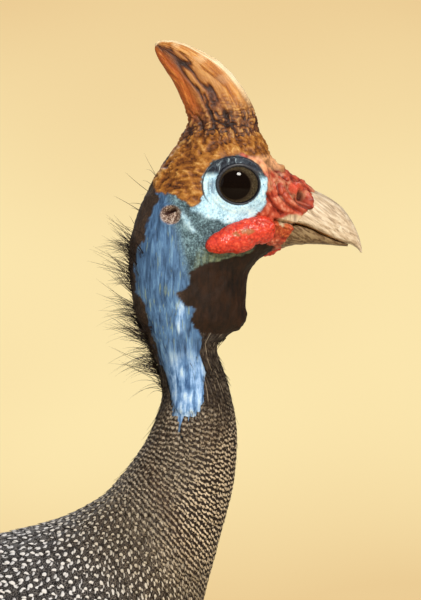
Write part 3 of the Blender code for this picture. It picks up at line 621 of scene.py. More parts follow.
class Nodes:
    """A tree of nodes that are written as sums of shades."""

    def __init__(self, tree):
        self.tree = tree

    def node(self, kind, settings=None, values=None, output=0):
        """Any node: its kind, settings, the values or links of its sockets, and the output that is used."""
        made = self.tree.nodes.new(kind)
        for name, value in (settings or {}).items():
            if name == "stops":
                ramp = made.color_ramp
                while len(ramp.elements) < len(value):
                    ramp.elements.new(0.5)
                for stop, (place, colour) in zip(ramp.elements, value):
                    stop.position, stop.color = place, (*colour, 1)
            else:
                setattr(made, name, value)
        for name, value in (values or {}).items():
            if isinstance(value, Shade):
                self.tree.links.new(value.socket, made.inputs[name])
            else:
                made.inputs[name].default_value = value
        return Shade(self, made.outputs[output])

    def place(self):
        """The place on the bird in millimetres round the eye."""
        raw = self.node("ShaderNodeTexCoord", output=3)
        moved = self.vector("SUBTRACT", raw, tuple(EYE))
        return self.vector("MULTIPLY", moved, (1000, 1000, 1000))

    def vector(self, operation, first, second):
        return self.node("ShaderNodeVectorMath", {"operation": operation}, {0: first, 1: second})

    def part(self, vector, axis):
        return self.node("ShaderNodeSeparateXYZ", None, {0: vector}, output="XYZ".index(axis))

    def joined(self, x, y, z=0.0):
        return self.node("ShaderNodeCombineXYZ", None, {0: x, 1: y, 2: z})

    def value(self, name):
        """A number that the mesh carries for each point."""
        return self.node("ShaderNodeAttribute", {"attribute_name": name}, output=2)

    def lumps(self, size, detail=3.0, stretch=(1, 1, 1), at=None, roughness=0.6, warp=0.0):
        """Noise from 0 to 1 with lumps of a size in millimetres, longer where the stretch is smaller."""
        at = self.vector("MULTIPLY", at or self.place(), tuple(s / size for s in stretch))
        return self.node(
            "ShaderNodeTexNoise", None,
            {"Vector": at, "Scale": 1.0, "Detail": detail, "Roughness": roughness, "Distortion": warp}
        )

    def cells(self, size, at=None, randomness=1.0, feature="F1", output=0, stretch=(1, 1, 1)):
        at = self.vector("MULTIPLY", at or self.place(), tuple(s / size for s in stretch))
        return self.node(
            "ShaderNodeTexVoronoi", {"feature": feature},
            {"Vector": at, "Scale": 1.0, "Randomness": randomness}, output
        )

    def ramp(self, shade, *stops):
        """A colour for each number, from stops that each give a place and its colour."""
        return self.node("ShaderNodeValToRGB", {"stops": stops}, {0: shade})

    def mix(self, mask, first, second, how="MIX"):
        """The first colour where the mask is 0 and the second where it is 1."""
        first, second = (c if isinstance(c, Shade) else (*c, 1) for c in (first, second))
        return self.node(
            "ShaderNodeMix", {"data_type": "RGBA", "blend_type": how}, {0: mask, 6: first, 7: second}, 2
        )


class Finish(Nodes):
    """A material: a shader with constants, and shades for what changes over the surface."""

    def __init__(self, name, roughness=0.6, **constants):
        self.material = bpy.data.materials.new(name)
        self.material.use_nodes = True
        super().__init__(self.material.node_tree)
        self.shader = self.tree.nodes["Principled BSDF"]
        self.shader.inputs["Roughness"].default_value = roughness
        for name, value in constants.items():
            self.shader.inputs[name.replace("_", " ")].default_value = value

    def set(self, **shades):
        for name, shade in shades.items():
            self.tree.links.new(shade.socket, self.shader.inputs[name.replace("_", " ")])
        return self

    def bump(self, height, depth, strength=1.0):
        """Relief from a height of 0 to 1, which stands for a depth in millimetres."""
        made = self.node(
            "ShaderNodeBump", None, {"Height": height, "Distance": depth * MM, "Strength": strength}
        )
        self.tree.links.new(made.socket, self.shader.inputs["Normal"])
        return self


def skin_finish(settings):
    """Bare skin: blue neck, pale face, orange crown, red cere, dark nape, and the ground of the coat."""
    f = Finish("bare_skin", 0.55, Specular_IOR_Level=0.25)
    place = f.place()
    x, z = f.part(place, "X"), f.part(place, "Z")
    relief = f.value("relief")
    streaks = f.lumps(1.15, 4, (1.0, 1.0, 0.16), place, warp=0.5)
    grain = f.lumps(0.6, 3, at=place)
    patches = f.lumps(4.0, 3, at=place)
    deep = f.ramp(
        streaks, (0.30, (0.020, 0.048, 0.105)), (0.45, (0.055, 0.120, 0.240)), (0.58, settings.neck_blue),
        (0.74, (0.20, 0.36, 0.55))
    )
    bright = f.ramp(
        streaks * 0.65 + patches * 0.35, (0.37, (0.035, 0.10, 0.25)), (0.46, (0.14, 0.29, 0.56)),
        (0.53, (0.34, 0.54, 0.86)), (0.64, (0.72, 0.90, 1.0)),
    )
    # Painted sunlight: the lower front of the blue neck takes the bright blue as if the sun lit it; stripe
    # adds a narrow streak of the same bright blue
    painted_sunlight = z.falls(-58, -46) * (x + z * 0.14).rises(-31, -25.5)
    stripe = (((x + 17.3) / 1.6) ** 2 + ((z + 39.5) / 5.0) ** 2).falls(0.5, 1.4)
    blue = f.mix(painted_sunlight.most(stripe * 0.8), deep, bright)
    straws = (
        f.lumps(0.6, 2, (1.0, 1.0, 0.06), place).rises(0.58, 0.66) * z.falls(-16, -12) * z.rises(-62, -40)
    )
    blue = f.mix(straws * 0.55, blue, (0.27, 0.34, 0.20))
    cheek = f.ramp(
        patches * 0.45 + grain * 0.55, (0.38, (0.014, 0.026, 0.034)), (0.49, (0.065, 0.115, 0.140)),
        (0.62, (0.22, 0.36, 0.42))
    )
    jaw = f.ramp(streaks, (0.38, (0.045, 0.065, 0.035)), (0.62, (0.25, 0.29, 0.15)))
    cheek = f.mix(z.falls(-21.5, -17) * (x - z * 0.3).rises(-8, -2) * 0.8, cheek, jaw)
    face = f.mix((x + z * 0.25).rises(-24, -19.5) * z.rises(-31, -25), blue, cheek)
    pale = f.ramp(
        patches * 0.5 + grain * 0.5, (0.38, (0.26, 0.46, 0.60)), (0.50, (0.52, 0.80, 0.98)),
        (0.62, (0.76, 0.98, 1.0)),
    )
    pale = f.mix(f.cells(2.6, place).falls(0.07, 0.12) * 0.6, pale, (0.05, 0.07, 0.12))
    face = f.mix(f.value("pale"), face, pale)
    nape = f.ramp(
        grain * 0.6 + patches * 0.4, (0.36, (0.020, 0.012, 0.008)), (0.56, (0.060, 0.036, 0.022)),
        (0.7, (0.16, 0.10, 0.06)),
    )
    throat = f.ramp(
        streaks * 0.5 + patches * 0.5, (0.36, (0.005, 0.002, 0.0006)), (0.62, (0.028, 0.010, 0.003))
    )
    dark = f.mix((x + z * 0.1).rises(-24, -17), nape, throat)
    colour = f.mix(f.value("blue"), dark, face)
    # Painted shade and highlight: the crown and cere ramps follow the relief, dark in the hollows between
    # wrinkles and warts and light on their crests; the brow's orange is strongest on the crests too
    crown = f.ramp(
        relief * 0.62 + grain * 0.38, (0.18, (0.030, 0.009, 0.003)), (0.34, (0.17, 0.052, 0.009)),
        (0.55, settings.crown_orange), (0.80, (0.70, 0.39, 0.12)),
    )
    crown = f.mix(x.rises(8.0, 11.5) * 0.45, crown, (0.50, 0.24, 0.14))
    colour = f.mix(f.value("crown"), colour, crown)
    red = f.ramp(
        relief * 0.7 + grain * 0.3, (0.14, (0.085, 0.009, 0.005)), (0.34, (0.29, 0.030, 0.014)),
        (0.58, settings.cere_red), (0.88, (0.76, 0.32, 0.21)),
    )
    tan = patches.rises(0.50, 0.64) * z.rises(-8.0, -2.0)
    red = f.mix(tan * 0.55, red, (0.66, 0.33, 0.18))
    colour = f.mix(f.value("red"), colour, red)
    brow = (
        (((x - 7.6) / 5.2) ** 2 + ((z - 6.3) / 2.6) ** 2).falls(0.3, 1.5)
        * (relief * 0.8 + grain * 0.5).least(1.0)
    )
    colour = f.mix(brow * 0.9, colour, (0.92, 0.50, 0.25))
    knob = (((x - NOSTRIL_KNOB[0]) / 2.2) ** 2 + ((z - NOSTRIL_KNOB[1]) / 2.0) ** 2).falls(0.3, 1.3)
    colour = f.mix(knob * 0.7, colour, (0.72, 0.075, 0.035))
    colour = f.mix(
        f.value("gape"), colour, f.ramp(grain, (0.4, (0.38, 0.035, 0.012)), (0.66, (0.62, 0.17, 0.05)))
    )
    colour = f.mix(
        f.value("horn"), colour, f.ramp(streaks, (0.35, (0.30, 0.20, 0.12)), (0.6, (0.66, 0.50, 0.32)))
    )
    lid = f.ramp(
        streaks, (0.40, (0.010, 0.012, 0.020)), (0.55, (0.050, 0.065, 0.085)), (0.66, (0.30, 0.38, 0.42))
    )
    colour = f.mix(f.value("lid"), colour, lid)
    blots = (((x + 8.0) / 1.3) ** 2 + ((z + 0.6) / 2.6) ** 2).falls(0.1, 1.4) * streaks.rises(0.40, 0.62)
    colour = f.mix(blots * 0.65, colour, (0.030, 0.050, 0.14))
    # painted shade: a dark line along the groove round the upper side of the eye
    round_eye = (
        (((x - LID_RING_AT[0]) / LID_RING[0]) ** 2 + ((z - LID_RING_AT[1]) / LID_RING[1]) ** 2) ** 0.5
        + (streaks - 0.5) * 0.05
    )
    line = ((round_eye - 1) * (round_eye - 1)).falls(0.0002, 0.0011) * z.rises(-7.0, -2.5) * x.falls(5.5, 8.0)
    colour = f.mix(line * 0.85, colour, (0.008, 0.010, 0.020))
    ear = f.ramp(grain, (0.36, (0.050, 0.022, 0.016)), (0.50, (0.24, 0.15, 0.11)), (0.62, (0.58, 0.48, 0.40)))
    colour = f.mix(f.value("ear"), colour, ear)
    # painted shade: the ear slit and the nostril slot are coloured near black
    colour = f.mix(f.value("hollow"), colour, (0.030, 0.005, 0.003))
    spots = f.cells(3.1, place, 0.55).falls(0.22, 0.28)
    ground = f.mix(spots, (0.014, 0.010, 0.009), (0.30, 0.26, 0.20))
    colour = f.mix(f.value("covered"), colour, ground)
    f.set(Base_Color=colour, Roughness=0.60 - 0.20 * f.value("red") - 0.10 * f.value("crown"))
    fine = grain * 0.35 + streaks * 0.5 * f.value("blue")
    return f.bump(fine, 0.30).material


def casque_finish():
    """The horn of the casque: fibrous, with a painted highlight along its front edge and tip, deep orange
    behind, and painted shade in its hollows.
    """
    f = Finish("casque_horn", 0.5, Specular_IOR_Level=0.4)
    chord, along, relief = f.value("chord"), f.value("along"), f.value("relief")
    place = f.place()
    run = f.joined(chord * 9, along * 3.2, f.part(place, "Y") * 0.08)
    fibres = f.node(
        "ShaderNodeTexNoise", None,
        {"Vector": run, "Scale": 1.6, "Detail": 4.0, "Roughness": 0.65, "Distortion": 0.5},
    )
    grain = f.lumps(0.7, 3, at=place)
    # painted shade: the centre ramp follows the relief, darker in the hollows between the fibres
    deep = fibres * 0.55 + relief * 0.45
    centre = f.ramp(
        deep, (0.26, (0.016, 0.005, 0.003)), (0.42, (0.075, 0.020, 0.006)), (0.56, (0.23, 0.068, 0.013)),
        (0.78, (0.50, 0.215, 0.050))
    )
    rear = f.ramp(
        fibres, (0.3, (0.26, 0.040, 0.005)), (0.55, (0.52, 0.13, 0.016)), (0.75, (0.78, 0.36, 0.08))
    )
    front = f.ramp(
        fibres * 0.75 + relief * 0.25, (0.3, (0.27, 0.075, 0.012)), (0.5, (0.54, 0.205, 0.036)),
        (0.72, (0.82, 0.47, 0.155)),
    )
    bands = (
        (along * 44 - chord * 3 + fibres * 2.5).sine().rises(0.1, 1.0) * chord.rises(0.45, 0.75)
        * along.rises(0.42, 0.60)
    )
    front = f.mix(bands * along.falls(0.84, 0.94) * 0.45, front, (0.93, 0.68, 0.38))
    # painted highlight: a cream band along the front edge and over the tip
    cream_highlight = f.ramp(fibres, (0.3, (0.72, 0.42, 0.15)), (0.6, (0.98, 0.83, 0.55)))
    # painted shade: the base is darker in the hollows between its knots
    base = f.ramp(
        relief * 0.6 + grain * 0.4, (0.22, (0.016, 0.005, 0.003)), (0.42, (0.065, 0.020, 0.007)),
        (0.60, (0.22, 0.075, 0.015)), (0.84, (0.56, 0.30, 0.085)),
    )
    edge = fibres * 0.16
    colour = f.mix((chord + edge).falls(0.20, 0.34), centre, rear)
    colour = f.mix((chord + edge * 1.6 + along * 0.30).rises(0.74, 1.0), colour, front)
    colour = f.mix((chord + along * 0.10).rises(0.90, 0.98) * along.rises(0.25, 0.5), colour, cream_highlight)
    colour = f.mix((along + chord * 0.04).rises(0.90, 0.985), colour, cream_highlight)
    colour = f.mix((along - chord * 0.06 + grain * 0.14).falls(0.24, 0.46), colour, base)
    f.set(Base_Color=colour, Roughness=0.38 + 0.25 * grain)
    return f.bump(fibres * 0.8 + grain * 0.4, 0.45).material


def bill_finish():
    """Pale horn with fine darker streaks, flushed red at the gape and ochre along the cutting edge."""
    f = Finish("bill_horn", 0.36, Specular_IOR_Level=0.45)
    place = f.place()
    x, z = f.part(place, "X"), f.part(place, "Z")
    along = f.value("along")
    run = f.joined(x * 0.80 + z * -0.60, f.part(place, "Y"), x * 0.60 + z * 0.80)
    streaks = f.lumps(0.95, 4, (0.16, 1.0, 1.25), run, 0.6, 0.5)
    scratches = f.lumps(0.5, 2, (0.10, 1.0, 1.3), run).rises(0.60, 0.68)
    horn = f.ramp(
        streaks, (0.30, (0.28, 0.19, 0.115)), (0.44, (0.54, 0.40, 0.26)), (0.58, (0.72, 0.59, 0.42)),
        (0.80, (0.88, 0.80, 0.66))
    )
    horn = f.mix(scratches * 0.5, horn, (0.30, 0.20, 0.12))
    edge = f.value("edge")
    horn = f.mix(edge * along.falls(0.52, 0.70), horn, (0.42, 0.17, 0.035))
    horn = f.mix(edge * along.falls(0.04, 0.26), horn, (0.58, 0.085, 0.025))
    # Partly painted shade: the lower half is coloured darker than the upper, as if shaded by it; rim paints a
    # shadow line along its top edge
    low = f.mix(streaks.rises(0.4, 0.6), (0.11, 0.055, 0.018), (0.34, 0.235, 0.12))
    low = f.mix(
        along.falls(0.06, 0.26), low, f.mix(streaks.rises(0.4, 0.6), (0.30, 0.030, 0.012), (0.44, 0.16, 0.06))
    )
    low = f.mix(f.value("rim"), low, (0.07, 0.025, 0.010))
    horn = f.mix(f.value("lower"), horn, low)
    f.set(Base_Color=horn, Roughness=0.26 + 0.25 * streaks)
    return f.bump(streaks - scratches * 0.5, 0.15).material


def wattle_finish(settings):
    """Wet-looking red flesh, finely pebbled, with one dull brown smear."""
    f = Finish("wattle_flesh", 0.36, Specular_IOR_Level=0.5)
    place = f.place()
    x, z = f.part(place, "X"), f.part(place, "Z")
    beads = f.cells(0.9, place)
    patches = f.lumps(2.4, 3, at=place)
    # Partly painted shade and highlight: the ramp is lighter on the tops of the pebbles and darker between
    # them
    red = f.ramp(
        beads * 0.35 + patches * 0.65, (0.26, (0.88, 0.17, 0.085)), (0.40, (0.78, 0.065, 0.026)),
        (0.54, settings.wattle_red), (0.70, (0.36, 0.012, 0.006)),
    )
    red = f.mix(patches.rises(0.55, 0.7) * 0.35, red, (0.85, 0.22, 0.13))
    smear = (
        (((x - 1.6) / 3.3) ** 2 + ((z + 14.4 - (x - 1.6) * 0.16) / 1.0) ** 2).falls(0.6, 1.5)
        * patches.rises(0.34, 0.5)
    )
    red = f.mix(smear * 0.85, red, (0.40, 0.16, 0.06))
    f.set(Base_Color=red, Roughness=0.22 + 0.30 * beads)
    return f.bump(1 - beads, 0.20).material


def eye_finish():
    """A dark round pupil in an olive-brown iris with a black rim, under a wet surface."""
    f = Finish("eye", 0.25, Coat_Weight=0.15, Coat_Roughness=0.03, Specular_IOR_Level=0.0)
    place = f.place()
    x, z = f.part(place, "X"), f.part(place, "Z")
    pupil = (((x - PUPIL_AT[0]) / PUPIL_RADII[0]) ** 2 + ((z - PUPIL_AT[1]) / PUPIL_RADII[1]) ** 2) ** 0.5
    iris = ((x / IRIS_RADII[0]) ** 2 + (z / IRIS_RADII[1]) ** 2) ** 0.5
    rays = f.lumps(0.40, 3, at=place)
    ring = f.ramp(
        rays, (0.3, (0.022, 0.014, 0.007)), (0.55, (0.060, 0.045, 0.025)), (0.75, (0.13, 0.105, 0.065))
    )
    ring = f.mix(pupil.falls(1.0, 1.25) * 0.7, ring, (0.020, 0.012, 0.008))
    colour = f.mix(pupil.falls(0.97, 1.05), ring, (0.005, 0.0025, 0.0015))
    colour = f.mix(iris.rises(0.95, 1.02), colour, (0.005, 0.005, 0.008))
    return f.set(Base_Color=colour).material


def lid_finish():
    """The black wet edge of the lids."""
    f = Finish("eyelid_edge", 0.35)
    grain = f.lumps(0.5, 3)
    return f.set(
        Base_Color=f.ramp(grain, (0.35, (0.006, 0.006, 0.010)), (0.7, (0.035, 0.040, 0.055))),
        Roughness=0.3 + 0.3 * grain
    ).material


def plumage_finish(settings):
    """Blackish vanes with pale spots in rows, a fine grey net between them, and beaded bars on the neck."""
    if "spotted_plumage" in bpy.data.materials:
        return bpy.data.materials["spotted_plumage"]
    f = Finish("spotted_plumage", 0.6, Specular_IOR_Level=0.22)
    vane = f.vector("MULTIPLY", f.node("ShaderNodeUVMap", {"uv_map": "Vane"}), (100, 100, 100))
    across, back = f.part(vane, "X"), f.part(vane, "Y")
    spacing, bars, warm, lot = f.value("spacing"), f.value("bars"), f.value("warm"), f.value("lot")
    wave = f.lumps(1.5, 2, at=f.joined(across, back, lot * 9)) - 0.5
    sway = f.lumps(1.3, 2, at=f.joined(back, across, lot * 5)) - 0.5
    u, v = across / spacing, back / (spacing * 0.93) + 0.10 + lot * 0.12
    odd = (v * 0.5 + 0.5).fraction().rises(0.499, 0.501)
    shift = odd * 0.5 + f.value("first")
    middle = (u + shift + 0.5).floor() - shift
    du = u - middle + wave * 0.32 + (lot * 7).fraction() * 0.16 - 0.08
    dv = v.fraction() - 0.5 + sway * 0.32
    spots = (du * du + dv * dv) ** 0.5
    kept = (middle * middle).falls(0.6, 0.8).most(f.value("limit").rises(1.0, 2.0))
    spot = (spots + (lot * 13).fraction() * 0.05).falls(0.24, 0.33) * kept
    fine = f.lumps(0.5, 3, at=f.joined(across, back * 1.4, lot * 11), roughness=0.6, warp=1.0)
    lines = f.cells(0.95, f.joined(across, back * 1.3, lot * 7), 1.0, "DISTANCE_TO_EDGE").falls(0.05, 0.17)
    net = lines * fine.rises(0.38, 0.56) * spots.rises(0.32, 0.42).most(1 - kept)
    row = (back * (FULL_TURN / 1.7) + wave * 3.0 - 0.7).sine()
    bead = (across * (FULL_TURN / 1.45) + sway * 4.0 + lot * 6).sine()
    bar = (row * 0.80 + bead * 0.35 + (fine - 0.5) * 1.8).rises(0.12, 0.60)
    tone = 0.75 + lot * 0.5
    dark = f.mix(warm, settings.ground, settings.neck_ground)
    light = f.mix(warm, settings.spots, settings.neck_spots)
    thread = f.mix(warm, (0.20, 0.19, 0.185), (0.22, 0.165, 0.105))
    spotted = f.mix(spot, f.mix((net * 0.85) * tone, dark, thread), light)
    barred = f.mix(bar * tone.least(1.0), dark, settings.neck_bars)
    colour = f.mix(bars, spotted, barred)
    rust = f.value("rust")
    colour = f.mix(rust * 0.65, colour, f.mix(bar * 0.6, (0.045, 0.018, 0.007), (0.26, 0.15, 0.065)))
    shaft = (across * across).falls(0.004, 0.03)
    # painted shadow where the dark mask is set, with a pale shaft in it
    shadow = f.mix(fine.rises(0.50, 0.66) * 0.5, (0.012, 0.007, 0.005), (0.10, 0.065, 0.040))
    shadow = f.mix(shaft * lot.rises(0.5, 0.9) * 0.7, shadow, (0.34, 0.27, 0.19))
    colour = f.mix(f.value("dark"), colour, shadow)
    barbs = f.lumps(0.35, 2, (1.0, 0.25, 1.0), at=f.joined(across * 1.5 + back * 1.2, back * 0.4, lot))
    f.set(Base_Color=colour, Roughness=0.52 + 0.25 * fine)
    return f.bump(barbs, 0.08).material


def hair_finish():
    """Black bristle with a brown cast."""
    f = Finish("nape_bristle", 0.45, Specular_IOR_Level=0.3)
    tone = f.lumps(3.0, 2)
    return f.set(
        Base_Color=f.ramp(tone, (0.3, (0.006, 0.0035, 0.002)), (0.75, (0.030, 0.016, 0.008)))
    ).material


def leg_finish(settings):
    """Dark slate scales with paler edges, dusty on the toes."""
    f = Finish("leg_scale", 0.5)
    place = f.place()
    tone = f.lumps(3.0, 4, at=place)
    fine = f.lumps(0.6, 3, at=place)
    scale = f.ramp(tone, (0.3, (0.028, 0.027, 0.030)), (0.6, settings.scales), (0.8, (0.13, 0.115, 0.10)))
    seam = f.value("seam")
    colour = f.mix(seam, scale, (0.16, 0.135, 0.11))
    f.set(Base_Color=colour, Roughness=0.42 + 0.3 * fine)
    return f.bump(fine, 0.15).material


def claw_finish():
    """Dark horn, paler at the tip."""
    f = Finish("claw_horn", 0.34)
    place = f.place()
    streaks = f.lumps(0.8, 3, (0.3, 1, 1), place)
    tip = f.part(place, "Z").falls(FLOOR + 1.2, FLOOR + 3.2)
    horn = f.ramp(streaks, (0.3, (0.018, 0.014, 0.011)), (0.7, (0.085, 0.065, 0.050)))
    colour = f.mix(tip * 0.5, horn, (0.20, 0.16, 0.12))
    return f.set(Base_Color=colour, Roughness=0.25 + 0.3 * streaks).bump(streaks, 0.08).material


# Feathers


FEATHER_ALONG = np.array((0.0, 0.30, 0.56, 0.77, 0.91, 1.0))
FEATHER_SHAPE = np.array((0.50, 0.86, 1.0, 0.93, 0.68, 0.26))
QUILL_ALONG = np.array((0.0, 0.10, 0.22, 0.34, 0.46, 0.58, 0.70, 0.80, 0.88, 0.94, 0.98, 1.0))
QUILL_SHAPE = np.array((0.40, 0.60, 0.80, 0.93, 1.0, 1.0, 0.98, 0.93, 0.82, 0.64, 0.42, 0.16))

OUTLINES = {
    "feather": (FEATHER_ALONG, FEATHER_SHAPE),
    "quill": (QUILL_ALONG, QUILL_SHAPE),
    "small": (np.array((0.0, 0.5, 0.82, 1.0)), np.array((0.6, 1.0, 0.8, 0.25))),
}


def plates(tops, unders):
    """Closed thin plates from arrays of upper and under points: plate, row, column."""
    count, rows, columns, _ = tops.shape
    size = rows * columns
    upper = grid_faces(rows, columns, closed=False)
    rim = list(range(columns)) + [i * columns + columns - 1 for i in range(1, rows)]
    rim += (
        [(rows - 1) * columns + j for j in range(columns - 2, -1, -1)]
        + [i * columns for i in range(rows - 2, 0, -1)]
    )
    rim = np.array(rim)
    after = np.roll(rim, -1)
    edge = np.stack([after, rim, rim + size, after + size], -1)
    faces = np.concatenate([upper, upper[:, ::-1] + size, edge])
    points = np.concatenate([tops.reshape(count, size, 3), unders.reshape(count, size, 3)], axis=1)
    faces = (faces[None] + (np.arange(count) * 2 * size)[:, None, None]).reshape(-1, 4)
    points = points.reshape(-1, 3)
    return points, turned_outwards(points, faces)


class Coat:
    """Feathers gathered for one piece: points, faces, maps and the numbers that their material reads."""

    def __init__(self):
        self.points, self.faces, self.vane, self.bake, self.values = [], [], [], [], {}
        self.count = 0

    def add(self, tops, unders, across, back, root, **values):
        """Plates with their own map in millimetres, and each root's place on the bird's unwrapped skin."""
        points, faces = plates(tops, unders)
        number, rows, columns, _ = tops.shape
        self.faces.append(faces + self.count)
        self.count += len(points)
        self.points.append(points)

        def twice(grid):
            return np.concatenate([grid.reshape(number, -1)] * 2, axis=1).ravel()

        self.vane.append(np.column_stack([twice(across), twice(back)]) / 100)
        reach = np.maximum(np.abs(across).max(axis=(1, 2)), 1e-6)[:, None, None]
        length = np.maximum(back.max(axis=(1, 2)), 1e-6)[:, None, None]
        u = root[0][:, None, None] + 0.0015 * across / reach
        v = root[1][:, None, None] + 0.0015 * (2 * back / length - 1)
        self.bake.append(np.column_stack([twice(u), twice(v)]))
        for name, value in values.items():
            full = np.broadcast_to(np.reshape(value, (-1, 1)), (number, 2 * rows * columns))
            self.values.setdefault(name, []).append(full.ravel())

    def finish(self, name, material):
        mesh = mesh_of(name, np.concatenate(self.points), np.concatenate(self.faces))
        write_map(mesh, "OFBake", np.concatenate(self.bake))
        write_map(mesh, "Vane", np.concatenate(self.vane))
        for key, parts in self.values.items():
            write_value(mesh, key, np.concatenate(parts))
        return new_object(name, mesh, material)


def lay_vanes(
    coat, surface, place, angle, length, width, lift, draw, outline="feather", columns=5, **options
):
    """Feathers on a surface that is given by place, angle and lift; they run from their root to lower places.

    lift is the height of the root and of the tip; camber lowers both edges and roll one of them.
    """
    along, shape = OUTLINES[outline]
    camber, roll, thick = options.get("camber", 0.5), options.get("roll", 0.0), options.get("thick", 0.22)
    fray = options.get("fray", 0.04)
    place, angle, length, width = (np.asarray(v, float).ravel() for v in (place, angle, length, width))
    number = len(place)
    step = options.get("step", 0.02)

    def travel(at):
        """Millimetres along the surface for each whole place."""
        ahead, behind = surface(at + step, angle, 0.0), surface(at - step, angle, 0.0)
        return np.linalg.norm(ahead - behind, axis=-1) / (2 * step)

    speed = travel(place - 0.5 * length / travel(place))
    t = np.broadcast_to(along[None, :, None], (number, len(along), columns)).copy()
    u = np.broadcast_to(np.linspace(-1, 1, columns)[None, None, :], t.shape)
    t[:, 1:] += (draw.uniform(-fray, fray, (number, len(along) - 1, columns))) * (along[None, 1:, None] > 0.7)
    places = place[:, None, None] - length[:, None, None] * t / speed[:, None, None]
    turn = options.get("turn", 0.0)
    spin = 0.004
    angles = np.broadcast_to(angle[:, None, None], t.shape)
    arc = (
        np.linalg.norm(surface(places, angles + spin, 0.0) - surface(places, angles - spin, 0.0), axis=-1)
        / (2 * spin)
    )
    offset = (
        u * 0.5 * width[:, None, None] * shape[None, :, None]
        + np.reshape(turn, (-1, 1, 1)) * t * length[:, None, None]
    )
    angles = angles + offset / np.maximum(arc, 1e-6)
    low, high = (np.reshape(v, (-1, 1, 1)) for v in lift)
    loft = draw.uniform(-1, 1, (number, 1, 1)) * options.get("loose", 0.15)
    heights = low + (high - low) * t**0.8 + loft * t
    heights = (
        heights - camber * u**2 * shape[None, :, None]
        + np.reshape(roll, (-1, 1, 1)) * u * shape[None, :, None]
    )
    quill = options.get("quill", 0.0)
    heights = heights + quill * np.exp(-((u / 0.12) ** 2)) * (1 - 0.6 * t)
    tops = surface(places, angles, heights)
    unders = surface(places, angles, heights - thick * (1 - 0.5 * t))
    across = u * 0.5 * width[:, None, None] * shape[None, :, None]
    back = (1 - t) * length[:, None, None]
    root = options.get("root") or (
        np.mod(angle / (2 * math.pi), 1) * 0.96 + 0.02, (place + RUMP) / (HEAD_END + RUMP) * 0.96 + 0.02
    )
    coat.add(tops, unders, across, back, root, lot=draw.random(number), **options.get("values", {}))


def rows_of_roots(surface, start, end, exposed, wide):
    """Roots in staggered rows from place start down to end, equally far apart all round."""
    fine = np.linspace(start, end, 420)
    turn = np.linspace(0, 2 * math.pi, 181)
    grid = surface(fine[:, None], turn[None, :], 0.0)
    steps = np.linalg.norm(np.diff(grid, axis=0), axis=2) / exposed((fine[1:] + fine[:-1]) / 2)[:, None]
    run = np.vstack([np.zeros(len(turn)), np.cumsum(steps, axis=0)])
    places, angles = [], []
    for row in range(int(run[-1].max())):
        at = np.array([np.interp(row, run[:, k], fine) for k in range(len(turn))])
        line = surface(at, turn, 0.0)
        gaps = np.linalg.norm(np.diff(line, axis=0), axis=1) / wide((at[1:] + at[:-1]) / 2)
        total = np.concatenate([[0], np.cumsum(gaps)])
        count = max(int(round(total[-1])), 6)
        marks = (np.arange(count) + 0.5 * (row % 2)) * total[-1] / count
        angle = np.interp(marks, total, turn)
        kept = np.interp(angle, turn, run[-1]) >= row
        angles.append(angle[kept])
        places.append(np.interp(angle, turn, at)[kept])
    return np.concatenate(places), np.concatenate(angles)


FLANK_PLACES = np.linspace(0, 10, 400)
FLANK_ROWS = spline(BODY_SECTIONS, FLANK_PLACES)
FLANK_X = FLANK_ROWS[:, 2] + (FLANK_ROWS[:, 0] - FLANK_ROWS[:, 2]) * FLANK_ROWS[:, 5]


def flank_points(x, angle, lift, side):
    """Points over the body's side: x along it, angle down from the back line, lift out from the plumage."""
    x, angle, lift = np.broadcast_arrays(*(np.asarray(v, float) for v in (x, angle, lift)))
    beyond = np.minimum(x - WING_REAR, 0)
    place = np.interp(np.maximum(x, WING_REAR), FLANK_X, FLANK_PLACES)
    points = body_points(place, angle, lift)
    points = points + beyond[..., None] * np.array([1, FLANK_TAPER, FLANK_FALL])
    return points * np.array([1, side, 1])


def wing_angles(x, share):
    """The angle down from the back line, at a share of the way from the wing's upper to its lower edge."""
    edges = np.array(WING_EDGES, float)
    top, low = (np.radians(np.interp(x, edges[:, 0], edges[:, k])) for k in (1, 2))
    return top + (low - top) * share


def wing_surface(side):
    """The surface that the folded wing's feathers lie on."""
    return lambda x, share, lift: flank_points(x, wing_angles(x, share), lift, side)


def thigh_surface(side):
    """The feathered drumstick, by share of its height and the angle round it."""
    _, hock = leg_points(side)
    table = np.array(THIGH_SECTIONS)
    axis = np.array([0.25, 0, 1]) / math.hypot(0.25, 1)
    across = np.array([1, 0, 0]) - axis * axis[0]
    across /= np.linalg.norm(across)
    other = np.cross(axis, across)

    def points(share, angle, lift):
        share, angle, lift = np.broadcast_arrays(*(np.asarray(v, float) for v in (share, angle, lift)))
        ahead, deep, wide = (np.interp(share, table[:, 0], table[:, k]) for k in (1, 2, 3))
        middle = np.stack([hock[0] + ahead, hock[1] - side * ahead * 0.1, hock[2] + share * THIGH_HEIGHT], -1)
        return (
            middle
            + across * ((deep + lift) * np.cos(angle))[..., None]
            + other * ((wide + lift) * np.sin(angle))[..., None]
        )

    return points


def leg_points(side):
    """The foot joint and the hock of one leg."""
    foot = np.array([FOOT_X - side * STRIDE, side * FOOT_Y, FLOOR + PAD_HEIGHT * 0.6])
    hock = foot + np.array([-HOCK_BACK, side * 1.5, HOCK_HEIGHT - PAD_HEIGHT * 0.6])
    return foot, hock


# The skin


